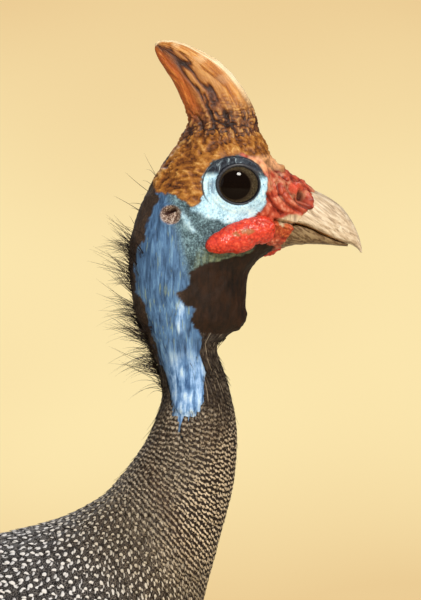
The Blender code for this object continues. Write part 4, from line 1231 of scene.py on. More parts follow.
def skin_rings(around):
    """Rings from the rump to the cere, closer on the head, and sunk below the coat where feathers grow."""
    fine = np.linspace(-RUMP, HEAD_END, 4000)
    lines = spline(ALL_SECTIONS, fine + RUMP)
    travel = np.maximum(
        np.linalg.norm(np.diff(lines[:, 0:2], axis=0), axis=1),
        np.linalg.norm(np.diff(lines[:, 2:4], axis=0), axis=1)
    )
    spacing = np.interp(
        fine[1:], (-5, 9, 12, 15, 17, 28.6, 29.2, 30), (5, 4, 2.0, 0.9, 0.52, 0.46, 0.26, 0.22)
    )
    count = np.concatenate([[0], np.cumsum(travel / spacing)])
    places = np.interp(np.linspace(0, count[-1], int(count[-1])), count, fine)
    angles = np.linspace(0, 2 * math.pi, around, endpoint=False)
    grid = body_points(places[:, None], angles[None, :], 0.0)
    flat = grid.reshape(-1, 3)
    bare = np.maximum(
        rise(np.repeat(places, around), 17.4, 18.2),
        rise(depth_inside(flat[:, [0, 2]], BLUE_OUTLINE), -0.6, 1.0),
    )
    sunk = -by_place(2, places)[:, None] * (1 - bare.reshape(len(places), around))
    return body_points(places[:, None], angles[None, :], sunk)


def shape_face(points, normals, settings):
    """Moves the skin of the head into its folds, lids, ears, nostrils and warts, and gives the relief that
    the skin's colour follows, with painted shade in its hollows.
    """
    x, y, z = points.T
    side = np.sign(y)
    flat = points[:, [0, 2]]
    crown = rise(depth_inside(flat, CROWN_OUTLINE), -0.6, 1.0)
    red = rise(depth_inside(flat, RED_OUTLINE), -0.5, 0.8)
    horn = rise(depth_inside(flat, HORN_OUTLINE), -0.4, 0.5)
    blue = rise(depth_inside(flat, BLUE_OUTLINE), -0.5, 0.8) * (1 - crown) * (1 - red)
    bare = rise(z, -70, -56)
    steep = rise(z, 5, 13)
    flowing = points * (0.50, 1, 1.5)
    flowing[:, 2] += 1.3 * noise(points, 5.0, 90)
    wrinkles = ridges(flowing, 2.0, 5) * (1 - steep) + ridges(points * (1.5, 1, 0.6), 1.8, 9) * steep
    folds = ridges(points * (0.55, 1, 1.0) + 0.5 * points[:, [2, 1, 0]] * (1, 0, 1), 3.6, 24)
    wrinkles = 0.48 * wrinkles + 0.27 * folds + 0.25 * billow(points * (0.8, 1, 1.2), 1.0, 14)
    warts = 0.6 * (1 - np.clip(pebbles(points, 1.45, 3) * 1.25, 0, 1)) + 0.4 * billow(points, 3.2, 21)
    relief = 0.5 + 0.25 * rough(points, 1.5, 2, 77)
    relief = relief + crown * (wrinkles - relief)
    relief = relief + red * (warts - relief)
    lift = crown * (settings.crown_relief / MM * (wrinkles - 0.45) + 0.35 * rough(points, 5, 2, 33))
    lift += red * (1 - horn) * (settings.cere_relief / MM * (warts - 0.5) + 0.30 * rough(points, 4.5, 2, 21))
    lift += blue * (0.20 * rough(points * (1, 1, 0.22), 1.5, 3, 13) + 0.06 * (0.5 - pebbles(points, 0.9, 8)))
    lift += (1 - blue) * (1 - crown) * (1 - red) * bare * 0.22 * rough(points * (1, 1, 0.5), 1.6, 3, 31)
    smooth = np.zeros(len(points))
    for line, deep, wide in CREASES:
        away = away_from(flat, line)
        cut = np.exp(-((away / wide) ** 2)) * (np.abs(y) > 2.5)
        lift += deep * (0.42 * np.exp(-(((away - 2.6 * wide) / (1.3 * wide)) ** 2)) * (np.abs(y) > 2.5) - cut)
        smooth = np.maximum(smooth, cut)
    # painted shade: the creases lower the relief, so the colour darkens along them
    relief = relief * (1 - 0.9 * smooth)
    # the ear: a rim round a cup with a slanting slit, and the pale fold that runs down from it
    ear = np.hypot((x - EAR_AT[0]) / EAR_RADII[0], (z - EAR_AT[1]) / EAR_RADII[1])
    lift += 0.55 * np.exp(-(((ear - 1.0) / 0.22) ** 2)) - 0.9 * (1 - rise(ear, 0.4, 0.95))
    slit = away_from(flat, EAR_SLIT)
    lift -= 1.4 * (1 - rise(slit, 0.2, 0.8))
    fold = away_from(flat, EAR_FOLD)
    lift += 0.55 * np.exp(-((fold / 1.0) ** 2))
    # the nostril: a knob beside a dark slot in a swollen cere
    slot = np.hypot((x - NOSTRIL_AT[0]) / NOSTRIL_RADII[0], (z - NOSTRIL_AT[1]) / NOSTRIL_RADII[1])
    knob = np.hypot(x - NOSTRIL_KNOB[0], z - NOSTRIL_KNOB[1]) / NOSTRIL_KNOB[2]
    lift += red * (0.9 * np.exp(-((knob / 0.8) ** 2)) + 0.6 * np.exp(-(((slot - 1.35) / 0.3) ** 2)))
    lift -= 1.7 * (1 - rise(slot, 0.35, 1.0))
    head = rise(z, -60, -50)
    points = points + normals * (lift * head)[:, None]
    # the ragged lip where the cere meets the horn
    ahead = (points[:, [0, 2]] - CERE_END) @ CERE_AIM
    spread = (
        rise(ahead, -1.3, -0.1)
        * (0.55 + 0.75 * noise(points, 2.2, 97) + 1.7 * np.exp(-(((z + 5.2) / 2.8) ** 2)))
    )
    points[:, [0, 2]] += spread[:, None] * CERE_AIM
    # the lids round the eye, and the socket below the ball
    reach = np.hypot(points[:, 0] / LID_RADII[0], points[:, 2] / LID_RADII[1])
    ring = np.hypot((x - LID_RING_AT[0]) / LID_RING[0], (z - LID_RING_AT[1]) / LID_RING[1])
    lid = 0.85 * np.exp(-(((reach - 1.0) / 0.13) ** 2)) + 0.40 * np.exp(-(((reach - 1.22) / 0.08) ** 2))
    lid -= 0.45 * np.exp(-(((ring - 1.0) / 0.035) ** 2)) * rise(z, -6, -2)
    lid *= (reach < 2) & (np.abs(points[:, 1]) > 6)
    socket = (1 - rise(reach, 0.82, 0.97)) * (np.abs(points[:, 1]) > 6)
    points[:, 1] += side * (lid - socket * 6.0)
    return points, relief


def skin_values(mesh, points, relief):
    """Writes where each colour of the skin lies."""
    x, y, z = points.T
    ragged = np.column_stack(
        [
            noise(points, 1.7, 40) + 0.6 * noise(points, 0.8, 42),
            noise(points, 1.7, 41) + 0.6 * noise(points, 0.8, 43),
        ]
    )
    flat = points[:, [0, 2]] + 0.75 * ragged
    sideways = rise(np.abs(y), 1.5, 4.5)
    low = 1 - rise(z, -66, -58)
    crown = rise(depth_inside(flat, CROWN_OUTLINE), -0.35, 0.35)
    red = rise(depth_inside(flat, RED_OUTLINE), -0.35, 0.35) * (1 - crown)
    spot = 1 - rise(np.hypot(flat[:, 0] + 16.5, (flat[:, 1] + 73.3) * 0.8), 1.0, 1.8)
    blue = rise(depth_inside(flat, BLUE_OUTLINE) + 2.4 * low, -0.25, 0.30) * sideways
    blue = np.maximum(blue, spot * sideways)
    near = np.abs(y) > 5
    reach = np.hypot(x / LID_RADII[0], z / LID_RADII[1])
    ring = np.hypot((x - LID_RING_AT[0]) / LID_RING[0], (z - LID_RING_AT[1]) / LID_RING[1])
    within = (1 - rise(ring, 0.97, 1.03)) * near * rise(z, -7, -3)
    blue = np.maximum(blue, within)
    crown, red = crown * (1 - within), red * (1 - within * (1 - rise(reach, 1.10, 1.22) * rise(x, 1, 4)))
    blue = blue * (1 - crown) * (1 - red)
    fold = 1 - rise(away_from(flat, PALE_FOLD), 0.4, 1.5)
    pale = rise(depth_inside(flat, PALE_OUTLINE), -1.0, 0.8)
    pale = np.maximum(pale, fold * 0.7) * blue
    lid = within * rise(z, 2.0, 4.2) * (1 - red)
    lid = np.maximum(lid, (1 - rise(reach, 0.93, 0.99)) * near)
    ear = np.hypot((x - EAR_AT[0]) / EAR_RADII[0], (z - EAR_AT[1]) / EAR_RADII[1])
    slot = np.hypot((x - NOSTRIL_AT[0]) / NOSTRIL_RADII[0], (z - NOSTRIL_AT[1]) / NOSTRIL_RADII[1])
    slit = away_from(points[:, [0, 2]], EAR_SLIT)
    # hollow marks the ear slit and the nostril slot for painted shade
    hollow = np.maximum(1 - rise(slit, 0.25, 0.75), (1 - rise(slot, 0.45, 1.0)) * 0.85)
    covered = (1 - rise(z, -72, -60)) * (1 - blue)
    for name, value in (
        ("relief", relief), ("blue", blue), ("pale", pale), ("crown", crown), ("red", red), ("lid", lid),
        ("ear", 1 - rise(ear, 0.85, 1.05)), ("hollow", hollow * (np.abs(y) > 2)), ("covered", covered),
        ("horn", rise(depth_inside(flat, HORN_OUTLINE), -0.2, 0.5)),
        ("gape", rise(depth_inside(flat, GAPE_OUTLINE), -0.3, 0.4)),
    ):
        write_value(mesh, name, value)


def make_skin(settings):
    """One closed skin from the rump to the cere, with both thighs."""
    around = 216
    body = tube("skin", skin_rings(around))
    thighs = []
    for side in (1, -1):
        surface = thigh_surface(side)
        shares = np.linspace(0.0, 1.0, 12)
        angles = np.linspace(0, 2 * math.pi, 28, endpoint=False)
        sunk = -np.interp(shares, (0, 0.2, 1), (0.4, 1.8, 5.0))
        thighs.append(tube("thigh", surface(shares[:, None], angles[None, :], sunk[:, None])))
    join_solids(body, thighs)
    mesh = body.data
    mesh.name = "skin"
    points = placed_points(mesh)
    shaped, relief = shape_face(points, normals_of(mesh), settings)
    move_to(mesh, shaped)
    skin_values(mesh, points, relief)
    mesh.materials.clear()
    mesh.materials.append(skin_finish(settings))
    mesh.shade_smooth()
    dress(
        body, "neck_skin", "torso", "tail", "neck_feathered", "neck_bare", "head", "thigh_right", "thigh_left"
    )


def make_eyes():
    """Both eyeballs, each inside the dark margin of its lids."""
    finish, lid = eye_finish(), lid_finish()
    cos, sin = math.cos(EYE_YAW), math.sin(EYE_YAW)
    polar, turn = np.linspace(0.0, math.pi, 49), np.linspace(0, 2 * math.pi, 96, endpoint=False)
    for side, name in ((1, "left"), (-1, "right")):
        a = EYE_RADII[0] * np.sin(polar)[:, None] * np.cos(turn)
        h = EYE_RADII[1] * np.cos(polar)[:, None] * np.ones_like(turn)
        c = EYE_RADII[2] * np.sin(polar)[:, None] * np.sin(turn)
        ball = np.stack([a * cos + h * sin, side * (EYE_OUT - a * sin + h * cos), c], -1)
        ball = tube(f"eyeball_{name}", ball[1:-1], finish)
        dress(ball, "eye", f"eye_{name}")
        tilt = 2 * math.pi * np.arange(12) / 12
        ring_a, ring_c = LID_OPENING[0] * 1.03, LID_OPENING[1] * 1.04
        points = []
        for k in range(96):
            t = 2 * math.pi * k / 96
            a, c = ring_a * math.cos(t), ring_c * math.sin(t)
            deep = max(1 - (a / EYE_RADII[0]) ** 2 - (c / EYE_RADII[2]) ** 2, 0)
            h = EYE_RADII[1] * math.sqrt(deep) + 0.20
            thick = 0.40 + 0.14 * math.sin(t) + 0.12 * abs(math.cos(t)) ** 6
            ring_x, ring_z = a + thick * np.cos(tilt) * math.cos(t), c + thick * np.cos(tilt) * math.sin(t)
            ring_h = h + thick * 0.9 * np.sin(tilt)
            points.append(
                np.column_stack(
                    [ring_x * cos + ring_h * sin, side * (EYE_OUT - ring_x * sin + ring_h * cos), ring_z]
                )
            )
        points = np.concatenate(points)
        faces = grid_faces(97, 12) % (96 * 12)
        margin = new_object(
            f"eyelid_{name}", mesh_of(f"eyelid_{name}", points, turned_outwards(points, faces)), lid
        )
        dress(margin, "head_skin")


def make_casque():
    """The casque, with knots and clefts at its base and fibres above."""
    places = np.linspace(0, len(CASQUE_SECTIONS) - 1, 230)
    angles = np.linspace(0, 2 * math.pi, 150, endpoint=False)
    casque = tube("casque_horn", section_points(CASQUE_SECTIONS, places[:, None], angles[None, :]))
    mesh = casque.data
    points, normals = placed_points(mesh), normals_of(mesh)
    along, around = read_value(mesh, "along"), read_value(mesh, "around")
    chord = (1 - np.cos(2 * math.pi * around)) / 2
    run = np.column_stack([chord * 24, points[:, 1] * 0.6, along * 11])
    run[:, 0] += 1.2 * noise(points, 6, 63)
    ropes = billow(run, 1.7, 50)
    lumps = 0.45 * ridges(run * (1.2, 1, 0.8), 1.7, 57) + 0.55 * billow(points, 1.0, 58)
    low = 1 - rise(along - 0.05 * chord + 0.05 * noise(points, 3, 59), 0.26, 0.44)
    middle = rise(chord, 0.12, 0.3) * (1 - rise(chord, 0.62, 0.9)) * (1 - rise(along, 0.7, 0.95))
    relief = ropes + low * (lumps - ropes)
    lift = low * 0.65 * (lumps - 0.5) + (1 - low) * (0.18 + 0.65 * middle) * (ropes - 0.6)
    cuts = np.zeros(len(points))
    for line in CASQUE_CUTS:
        away = away_from(
            points[:, [0, 2]] + 0.5 * np.column_stack([noise(points, 1.6, 61), noise(points, 1.6, 62)]), line
        )
        cuts = np.maximum(cuts, np.exp(-((away / 0.42) ** 2)))
    lift -= 0.75 * cuts
    # painted shade: the clefts lower the relief, so the colour darkens in them
    relief = relief * (1 - 0.9 * cuts)
    lift += (
        0.16 * rough(points, 4, 2, 66)
        + (1 - low) * 0.10 * rise(chord, 0.6, 0.9) * noise(
            np.column_stack([along * 40, chord, chord]), 1.5, 67
        )
    )
    lift = lift * (1 - rise(along, 0.93, 1.0)) + 0.8 * (1 - rise(points[:, 2], 12.5, 17.5))
    move_to(mesh, points + normals * lift[:, None])
    write_value(mesh, "chord", chord)
    write_value(mesh, "relief", 0.5 + (relief - 0.5) * np.maximum(low, middle))
    mesh.materials.append(casque_finish())
    dress(casque, "casque_horn", "casque")


def make_bill():
    """Both halves of the bill."""
    finish = bill_finish()
    for name, table, lower in (("upper", UPPER_BILL_SECTIONS, 0.0), ("lower", LOWER_BILL_SECTIONS, 1.0)):
        places = np.linspace(0, len(table) - 1, 120)
        angles = np.linspace(0, 2 * math.pi, 96, endpoint=False)
        bill = tube(f"bill_horn_{name}", section_points(table, places[:, None], angles[None, :]), finish)
        mesh = bill.data
        points, normals = placed_points(mesh), normals_of(mesh)
        run = np.column_stack(
            [points[:, 0] * 0.22 - points[:, 2] * 0.16, points[:, 1], points[:, 0] * 0.6 + points[:, 2] * 0.8]
        )
        lift = 0.12 * rough(run, 1.3, 3, 70 + int(lower)) * rise(37 - points[:, 0], 0.5, 4)
        move_to(mesh, points + normals * lift[:, None])
        chord = (1 - np.cos(2 * math.pi * read_value(mesh, "around"))) / 2
        write_value(mesh, "edge", rise(chord, 0.70, 0.92) * (1 - lower))
        # rim: a painted shadow line along the top edge of the lower half, under the upper half
        write_value(mesh, "rim", (1 - rise(chord, 0.04, 0.20)) * lower)
        write_value(mesh, "lower", np.full(len(points), lower))
        dress(bill, "bill_horn", f"bill_{name}")


def make_wattles(settings):
    """Lobes of fused bulbs on both cheeks, remeshed, smoothed and pebbled."""
    finish = wattle_finish(settings)
    for side, name in ((1, "left"), (-1, "right")):
        tilt = Matrix.Rotation(-WATTLE_TILT, 3, "Y")
        bulbs = []
        for x, z, length, out, down in WATTLE_BULBS + (LEFT_WATTLE_BULB,) * (side > 0):
            bulbs.append(
                bulb(cheek_point(x, z, side) + np.array([0, side * 0.4, 0]), (length, out, down), tilt)
            )
        lobe = bulbs[0]
        lobe.name = f"wattle_flesh_{name}"
        join_solids(lobe, bulbs[1:])
        for kind, options in (
            ("REMESH", {"mode": "VOXEL", "voxel_size": 0.00030}),
            ("SMOOTH", {"factor": 0.6, "iterations": 14}),
        ):
            step = lobe.modifiers.new(kind.lower(), kind)
            for key, value in options.items():
                setattr(step, key, value)
        apply_steps(lobe)
        mesh = lobe.data
        points, normals = placed_points(mesh), normals_of(mesh)
        rough_end = 0.22 + 0.78 * rise(points[:, 0] + 0.4 * points[:, 2], -8.0, 0.5)
        lift = rough_end * 0.50 * (0.45 - pebbles(points, 1.2, 80)) + 0.26 * rough(points, 3.2, 2, 81)
        creases = np.abs(noise(points * (1, 1, 1.6), 4.5, 83))
        lift -= 0.35 * (1 - rise(creases, 0.0, 0.06)) * rough_end
        points = points + normals * lift[:, None]
        move_to(mesh, points)
        mesh.materials.clear()
        mesh.materials.append(finish)
        mesh.shade_smooth()
        dress(lobe, "wattle_skin", f"wattle_{name}")


def cheek_point(x, z, side):
    """The point of the smooth skin at a side view's x and z."""
    places = np.linspace(20, HEAD_END, 120)
    angles = np.linspace(0.1, math.pi - 0.1, 160)
    grid = body_points(places[:, None], angles[None, :]).reshape(-1, 3)
    near = grid[np.argmin((grid[:, 0] - x) ** 2 + (grid[:, 2] - z) ** 2)]
    return np.array([x, side * near[1], z])


def bulb(centre, radii, turn):
    """A turned ellipsoid."""
    polar = np.linspace(0.05, math.pi - 0.05, 24)[:, None]
    around = np.linspace(0, 2 * math.pi, 40, endpoint=False)[None, :]
    unit = np.stack(
        [
            np.sin(polar) * np.cos(around), -np.cos(polar) * np.ones_like(around),
            np.sin(polar) * np.sin(around),
        ],
        -1,
    )
    rings = (unit * radii) @ np.array(turn).T + centre
    return tube("bulb", rings)


# The coat


def under_wing(place, angle):
    """True for body feathers that the folded wing hides."""
    x = body_points(place, angle)[..., 0]
    down = np.where(angle > math.pi, 2 * math.pi - angle, angle)
    edges = np.array(WING_EDGES, float)
    top, low = (np.radians(np.interp(x, edges[:, 0], edges[:, k])) for k in (1, 2))
    return (x < WING_FRONT - 16) & (x > -238) & (down > top + 0.12) & (down < low - 0.10)


def coat_values(place, angle, points):
    """The numbers that the plumage finish reads, for each feather of the body."""
    front = rise(points[:, 0] - 0.55 * (points[:, 2] + 75), -14, 4)
    side = np.abs(np.sin(angle))
    patchy = noise(points, 7.0, 90)
    rust = rise(place, 12.6, 14.4) * (0.30 + 0.5 * rise(patchy, -0.1, 0.5)) * side
    streak = (
        np.exp(-(((points[:, 0] + 21 + (points[:, 2] + 90) * 0.42) / 3.2) ** 2)) * rise(place, 11.0, 12.5)
        * side
    )
    bars = rise(place, 10.8, 12.2) * (0.45 + 0.55 * rise(front, 0.0, 0.6))
    return {
        "spacing": by_place(1, place) * np.where(place < TWO_SPOTS_BELOW, ROW_WIDTH / 2, ROW_WIDTH),
        "first": np.where(place < TWO_SPOTS_BELOW, 0.5, 0.0),
        "limit": TIP_SPOTS,
        "bars": bars,
        "warm": 0.20 + 0.75 * rise(place, 8.6, 11.5),
        "rust": np.clip(rust + 0.75 * streak, 0, 0.9),
        # dark: painted shadow over the upper neck and over the back and sides of the lower neck
        "dark": np.maximum(
            rise(place + 0.6 * patchy, 13.7, 15.6) * 0.9, 0.30 * rise(place, 9.0, 11.5) * (1 - front) * side
        ),
    }


def plain_values(spacing, warm, dark=0.0, limit=ALL_SPOTS):
    """The numbers that the plumage finish reads, for feathers without bars or rust; dark is a share of
    painted shadow.
    """
    return {
        "spacing": spacing, "first": 0.0, "limit": limit, "bars": 0.0, "warm": warm, "rust": 0.0, "dark": dark
    }


def make_body_plumage(finish):
    """Small overlapping feathers from the throat to the vent."""
    draw = np.random.default_rng(11)
    place, angle = rows_of_roots(
        body_points, COAT_START, COAT_END, lambda p: by_place(1, p) * ROW_STEP,
        lambda p: by_place(1, p) * ROW_WIDTH
    )
    angle = np.mod(angle + draw.uniform(-0.02, 0.02, len(angle)), 2 * math.pi)
    points = body_points(place, angle)
    bare = depth_inside(points[:, [0, 2]], BLUE_OUTLINE) > -0.2
    down = np.where(angle > math.pi, 2 * math.pi - angle, angle)
    nape = (place > 15.8) & (down < 1.15)
    spot = np.hypot((points[:, 0] + 16.9) / 1.7, (points[:, 2] + 71.6) / 3.0) < 1
    kept = ~((bare | spot) & (np.abs(points[:, 1]) > 3.0)) & ~under_wing(place, angle) & ~nape
    place, angle, points = place[kept], angle[kept], points[kept]
    for name, chosen, outline, columns, parts in (
        ("neck_plumage", place > NECK_ABOVE, "small", 4, 1),
        ("shoulder_plumage", (place > TWO_SPOTS_BELOW) & (place <= NECK_ABOVE), "small", 5, 2),
        ("body_plumage", place <= TWO_SPOTS_BELOW, "feather", 5, 3),
    ):
        for part, picked in enumerate(np.array_split(np.flatnonzero(chosen), parts), 1):
            p, a = place[picked], angle[picked]
            size = by_place(1, p)
            hackle = rise(p, 12.5, 15.0)
            length = size * draw.uniform(2.3, 2.7, len(p)) * (1 + 0.5 * hackle)
            width = size * draw.uniform(1.6, 1.8, len(p)) * (1 - 0.35 * hackle)
            sunk = np.minimum(by_place(2, p) * 0.95, 0.13 * length)
            coat = Coat()
            lay_vanes(
                coat, body_points, p, a, length, width, (-sunk, -0.10), draw, outline=outline,
                columns=columns, camber=0.03 * size[:, None, None], loose=0.10, thick=0.10, fray=0.06,
                turn=draw.uniform(-0.12, 0.12, len(p)), values=coat_values(p, a, points[picked]),
            )
            dress(coat.finish(f"{name}_{part}", finish), "plumage")


def make_wings(finish):
    """Tiers of coverts over the long flight feathers of the folded wing."""
    tiers = []
    # x of the roots, feathers, length of the uppermost and lowest, root lift, tip lift, spot spacing
    for k in range(9):
        x = -58 - 9.0 * k - 0.25 * k * k
        tiers.append((x, 4 + int(1.25 * k), 20 + 1.6 * k, 19 + 1.4 * k, 1.0 + 0.05 * k, 3.6 + 0.15 * k, 4.0))
    tiers += [(-166, 12, 52, 46, 1.4, 5.0, 4.2), (-176, 12, 84, 66, 1.2, 4.8, 4.6)]
    for side, name in ((1, "left"), (-1, "right")):
        draw = np.random.default_rng(23)
        surface = wing_surface(side)
        coat = Coat()
        for row, (x, count, upper, lower, low, high, spacing) in enumerate(tiers):
            share = 0.02 + 0.96 * (np.arange(count) + 0.5 + 0.2 * (-1) ** row) / count
            length = upper + (lower - upper) * share
            at = surface(np.full(5, x - length.mean() * 0.45), np.linspace(0, 1, 5), 3.0)
            arc = np.linalg.norm(np.diff(at, axis=0), axis=1).sum()
            width = np.full(count, 1.55 * arc / count)
            long = length.mean() > 40
            lay_vanes(
                coat, surface, x - 3 * np.abs(share - 0.4), share, length, width, (low, high), draw,
                outline="quill" if long else "feather", columns=9 if long else 7, camber=0.45, roll=0.75,
                loose=0.2, thick=0.25, fray=0.02, quill=0.25, step=0.5,
                root=(share * 0.9 + 0.05, np.full(count, (x + 300) / 260)),
                values=plain_values(spacing, warm=0.12),
            )
        long_share = np.array((0.30, 0.42, 0.54, 0.66, 0.78))
        count = len(long_share)
        lay_vanes(
            coat, surface, np.linspace(-200, -206, count), long_share, np.linspace(84, 76, count),
            np.full(count, 17.0), (1.0, 3.2), draw, outline="quill", columns=9, camber=0.35, roll=0.7,
            thick=0.3, fray=0.01, quill=0.3, step=0.5, root=(long_share * 0.9 + 0.05, np.full(count, 0.2)),
            values=plain_values(5.0, warm=0.2, dark=0.25),
        )
        dress(coat.finish(f"wing_plumage_{name}", finish), "plumage", f"wing_{name}")


def tail_grid(side, start, yaw, length, width, level, roof, sink, columns):
    """The upper and under points of one tail feather."""
    aim = np.array([TAIL_AIM[0], 0, TAIL_AIM[1]])
    aim /= np.linalg.norm(aim)
    normal = np.array([aim[2], 0, -aim[0]])
    turn = math.radians(yaw)
    shaft = aim * math.cos(turn) + np.array([0, side * math.sin(turn), 0])
    across = np.cross(shaft, normal)
    across /= np.linalg.norm(across)
    root = np.array([TAIL_ROOT[0], side * start, TAIL_ROOT[1]]) - normal * (level * TAIL_STEP)
    t = QUILL_ALONG[:, None]
    u = np.linspace(-1, 1, columns)[None, :]
    shape = QUILL_SHAPE[:, None]
    flat = root + shaft * (length * t)[..., None] + across * (u * 0.5 * width * shape)[..., None]
    drop = np.abs(flat[..., 1]) * 0.05 + flat[..., 1] ** 2 * roof + sink * (1 - t) ** 4 + 0.35 * u**2 * shape
    drop = drop - 0.3 * np.exp(-((u / 0.12) ** 2)) * (1 - 0.6 * t)
    top = flat - normal * drop[..., None]
    under = top - normal * (0.32 * (1 - 0.5 * t))[..., None]
    return top, under, u * 0.5 * width * shape, (1 - t) * length * np.ones_like(u)


def make_tail(finish):
    """A drooping fan of sixteen feathers under three tiers of coverts."""
    draw = np.random.default_rng(31)
    rows = []
    level = 0.0
    for k in range(8):
        start, yaw, share = 1.0 + 1.45 * k, 1.0 + 2.1 * k, 1.0 - 0.0135 * k
        for side in (1, -1):
            rows.append((side, start, yaw, TAIL_LENGTH * share, TAIL_WIDTH, level * 0.7, 0.0, 0.0))
            level += 1
    for count, length, up, width in ((9, 60, 0.9, 17), (8, 48, 2.4, 16), (7, 36, 4.0, 15)):
        for k in range(count):
            place = (k + 0.5) / count * 2 - 1
            step = up + 1.7 * (1 - abs(place)) + 0.4 * (place > 0)
            rows.append(
                (1, place * 15, place * 13, length * draw.uniform(0.94, 1.04), width, -step, 0.012, 3.0)
            )
    coat = Coat()
    parts = [tail_grid(*row, 9) for row in rows]
    tops, unders, across, back = (np.stack([part[k] for part in parts]) for k in range(4))
    count = len(rows)
    coat.add(
        tops, unders, across, back,
        (0.5 + 0.4 * np.array([r[0] * r[1] for r in rows]) / 16, 0.05 + 0.9 * np.arange(count) / count),
        lot=draw.random(count), **plain_values(4.6, warm=0.15),
    )
    dress(coat.finish("tail_plumage", finish), "plumage")


def thigh_exposed(share):
    """The exposed length of a thigh feather, by share of the drumstick's height."""
    return np.interp(share, (0, 0.3, 1), (3.6, 5.0, 7.0))


def make_thigh_plumage(finish):
    """Small feathers down each drumstick to the hock."""
    draw = np.random.default_rng(37)
    for side, name in ((1, "left"), (-1, "right")):
        surface = thigh_surface(side)
        share, angle = rows_of_roots(surface, 1.02, 0.05, thigh_exposed, thigh_exposed)
        size = thigh_exposed(share)
        coat = Coat()
        length = np.minimum(size * 2.4, (share + 0.08) * THIGH_HEIGHT)
        depth = np.interp(share, (0, 0.2, 1), (0.1, 1.6, 4.0))
        lay_vanes(
            coat, surface, share, angle, length, size * 1.7, (-depth, -0.1), draw, camber=0.3, loose=0.3,
            thick=0.18, step=0.01, root=(np.mod(angle / FULL_TURN, 1) * 0.9 + 0.05, share * 0.85 + 0.05),
            values=plain_values(size * 0.9, warm=0.3, dark=0.15, limit=TIP_SPOTS),
        )
        dress(coat.finish(f"thigh_plumage_{name}", finish), "plumage")


def strands(name, roots, aims, bends, lengths, thick, finish, draw, steps=7):
    """Thin tapered bristles from their roots, as closed three-sided solids."""
    count = len(roots)
    t = np.linspace(0, 1, steps)
    line = (
        roots[:, None] + aims[:, None] * (lengths[:, None] * t)[..., None]
        + bends[:, None] * (lengths[:, None] * t**2)[..., None]
    )
    across = np.cross(aims, draw.normal(size=(count, 3)))
    across /= np.linalg.norm(across, axis=1)[:, None]
    other = np.cross(aims, across)
    radius = thick[:, None] * (1 - t) ** 0.7 + 0.012
    rings = []
    for k in range(3):
        turn = 2 * math.pi * k / 3
        out = across * math.cos(turn) + other * math.sin(turn)
        rings.append(line + out[:, None] * radius[..., None])
    points = np.stack(rings, axis=2).reshape(count, -1, 3)
    faces = []
    for i in range(steps - 1):
        for k in range(3):
            a, b = i * 3 + k, i * 3 + (k + 1) % 3
            faces += [(a, b, b + 3), (a, b + 3, a + 3)]
    faces += [(2, 1, 0), (steps * 3 - 3, steps * 3 - 2, steps * 3 - 1)]
    faces = np.array(faces)
    full = (faces[None] + (np.arange(count) * steps * 3)[:, None, None]).reshape(-1, 3)
    points = points.reshape(-1, 3)
    mesh = mesh_of(name, points, turned_outwards(points, full))
    return mesh, new_object(name, mesh, finish)


def directions(place, angle):
    """Unit vectors outwards and down along the body at roots on its surface."""
    out = body_points(place, angle, 1.0) - body_points(place, angle, 0.0)
    down = body_points(place - 0.05, angle) - body_points(place + 0.05, angle)
    return tuple(v / np.linalg.norm(v, axis=1)[:, None] for v in (out, down))


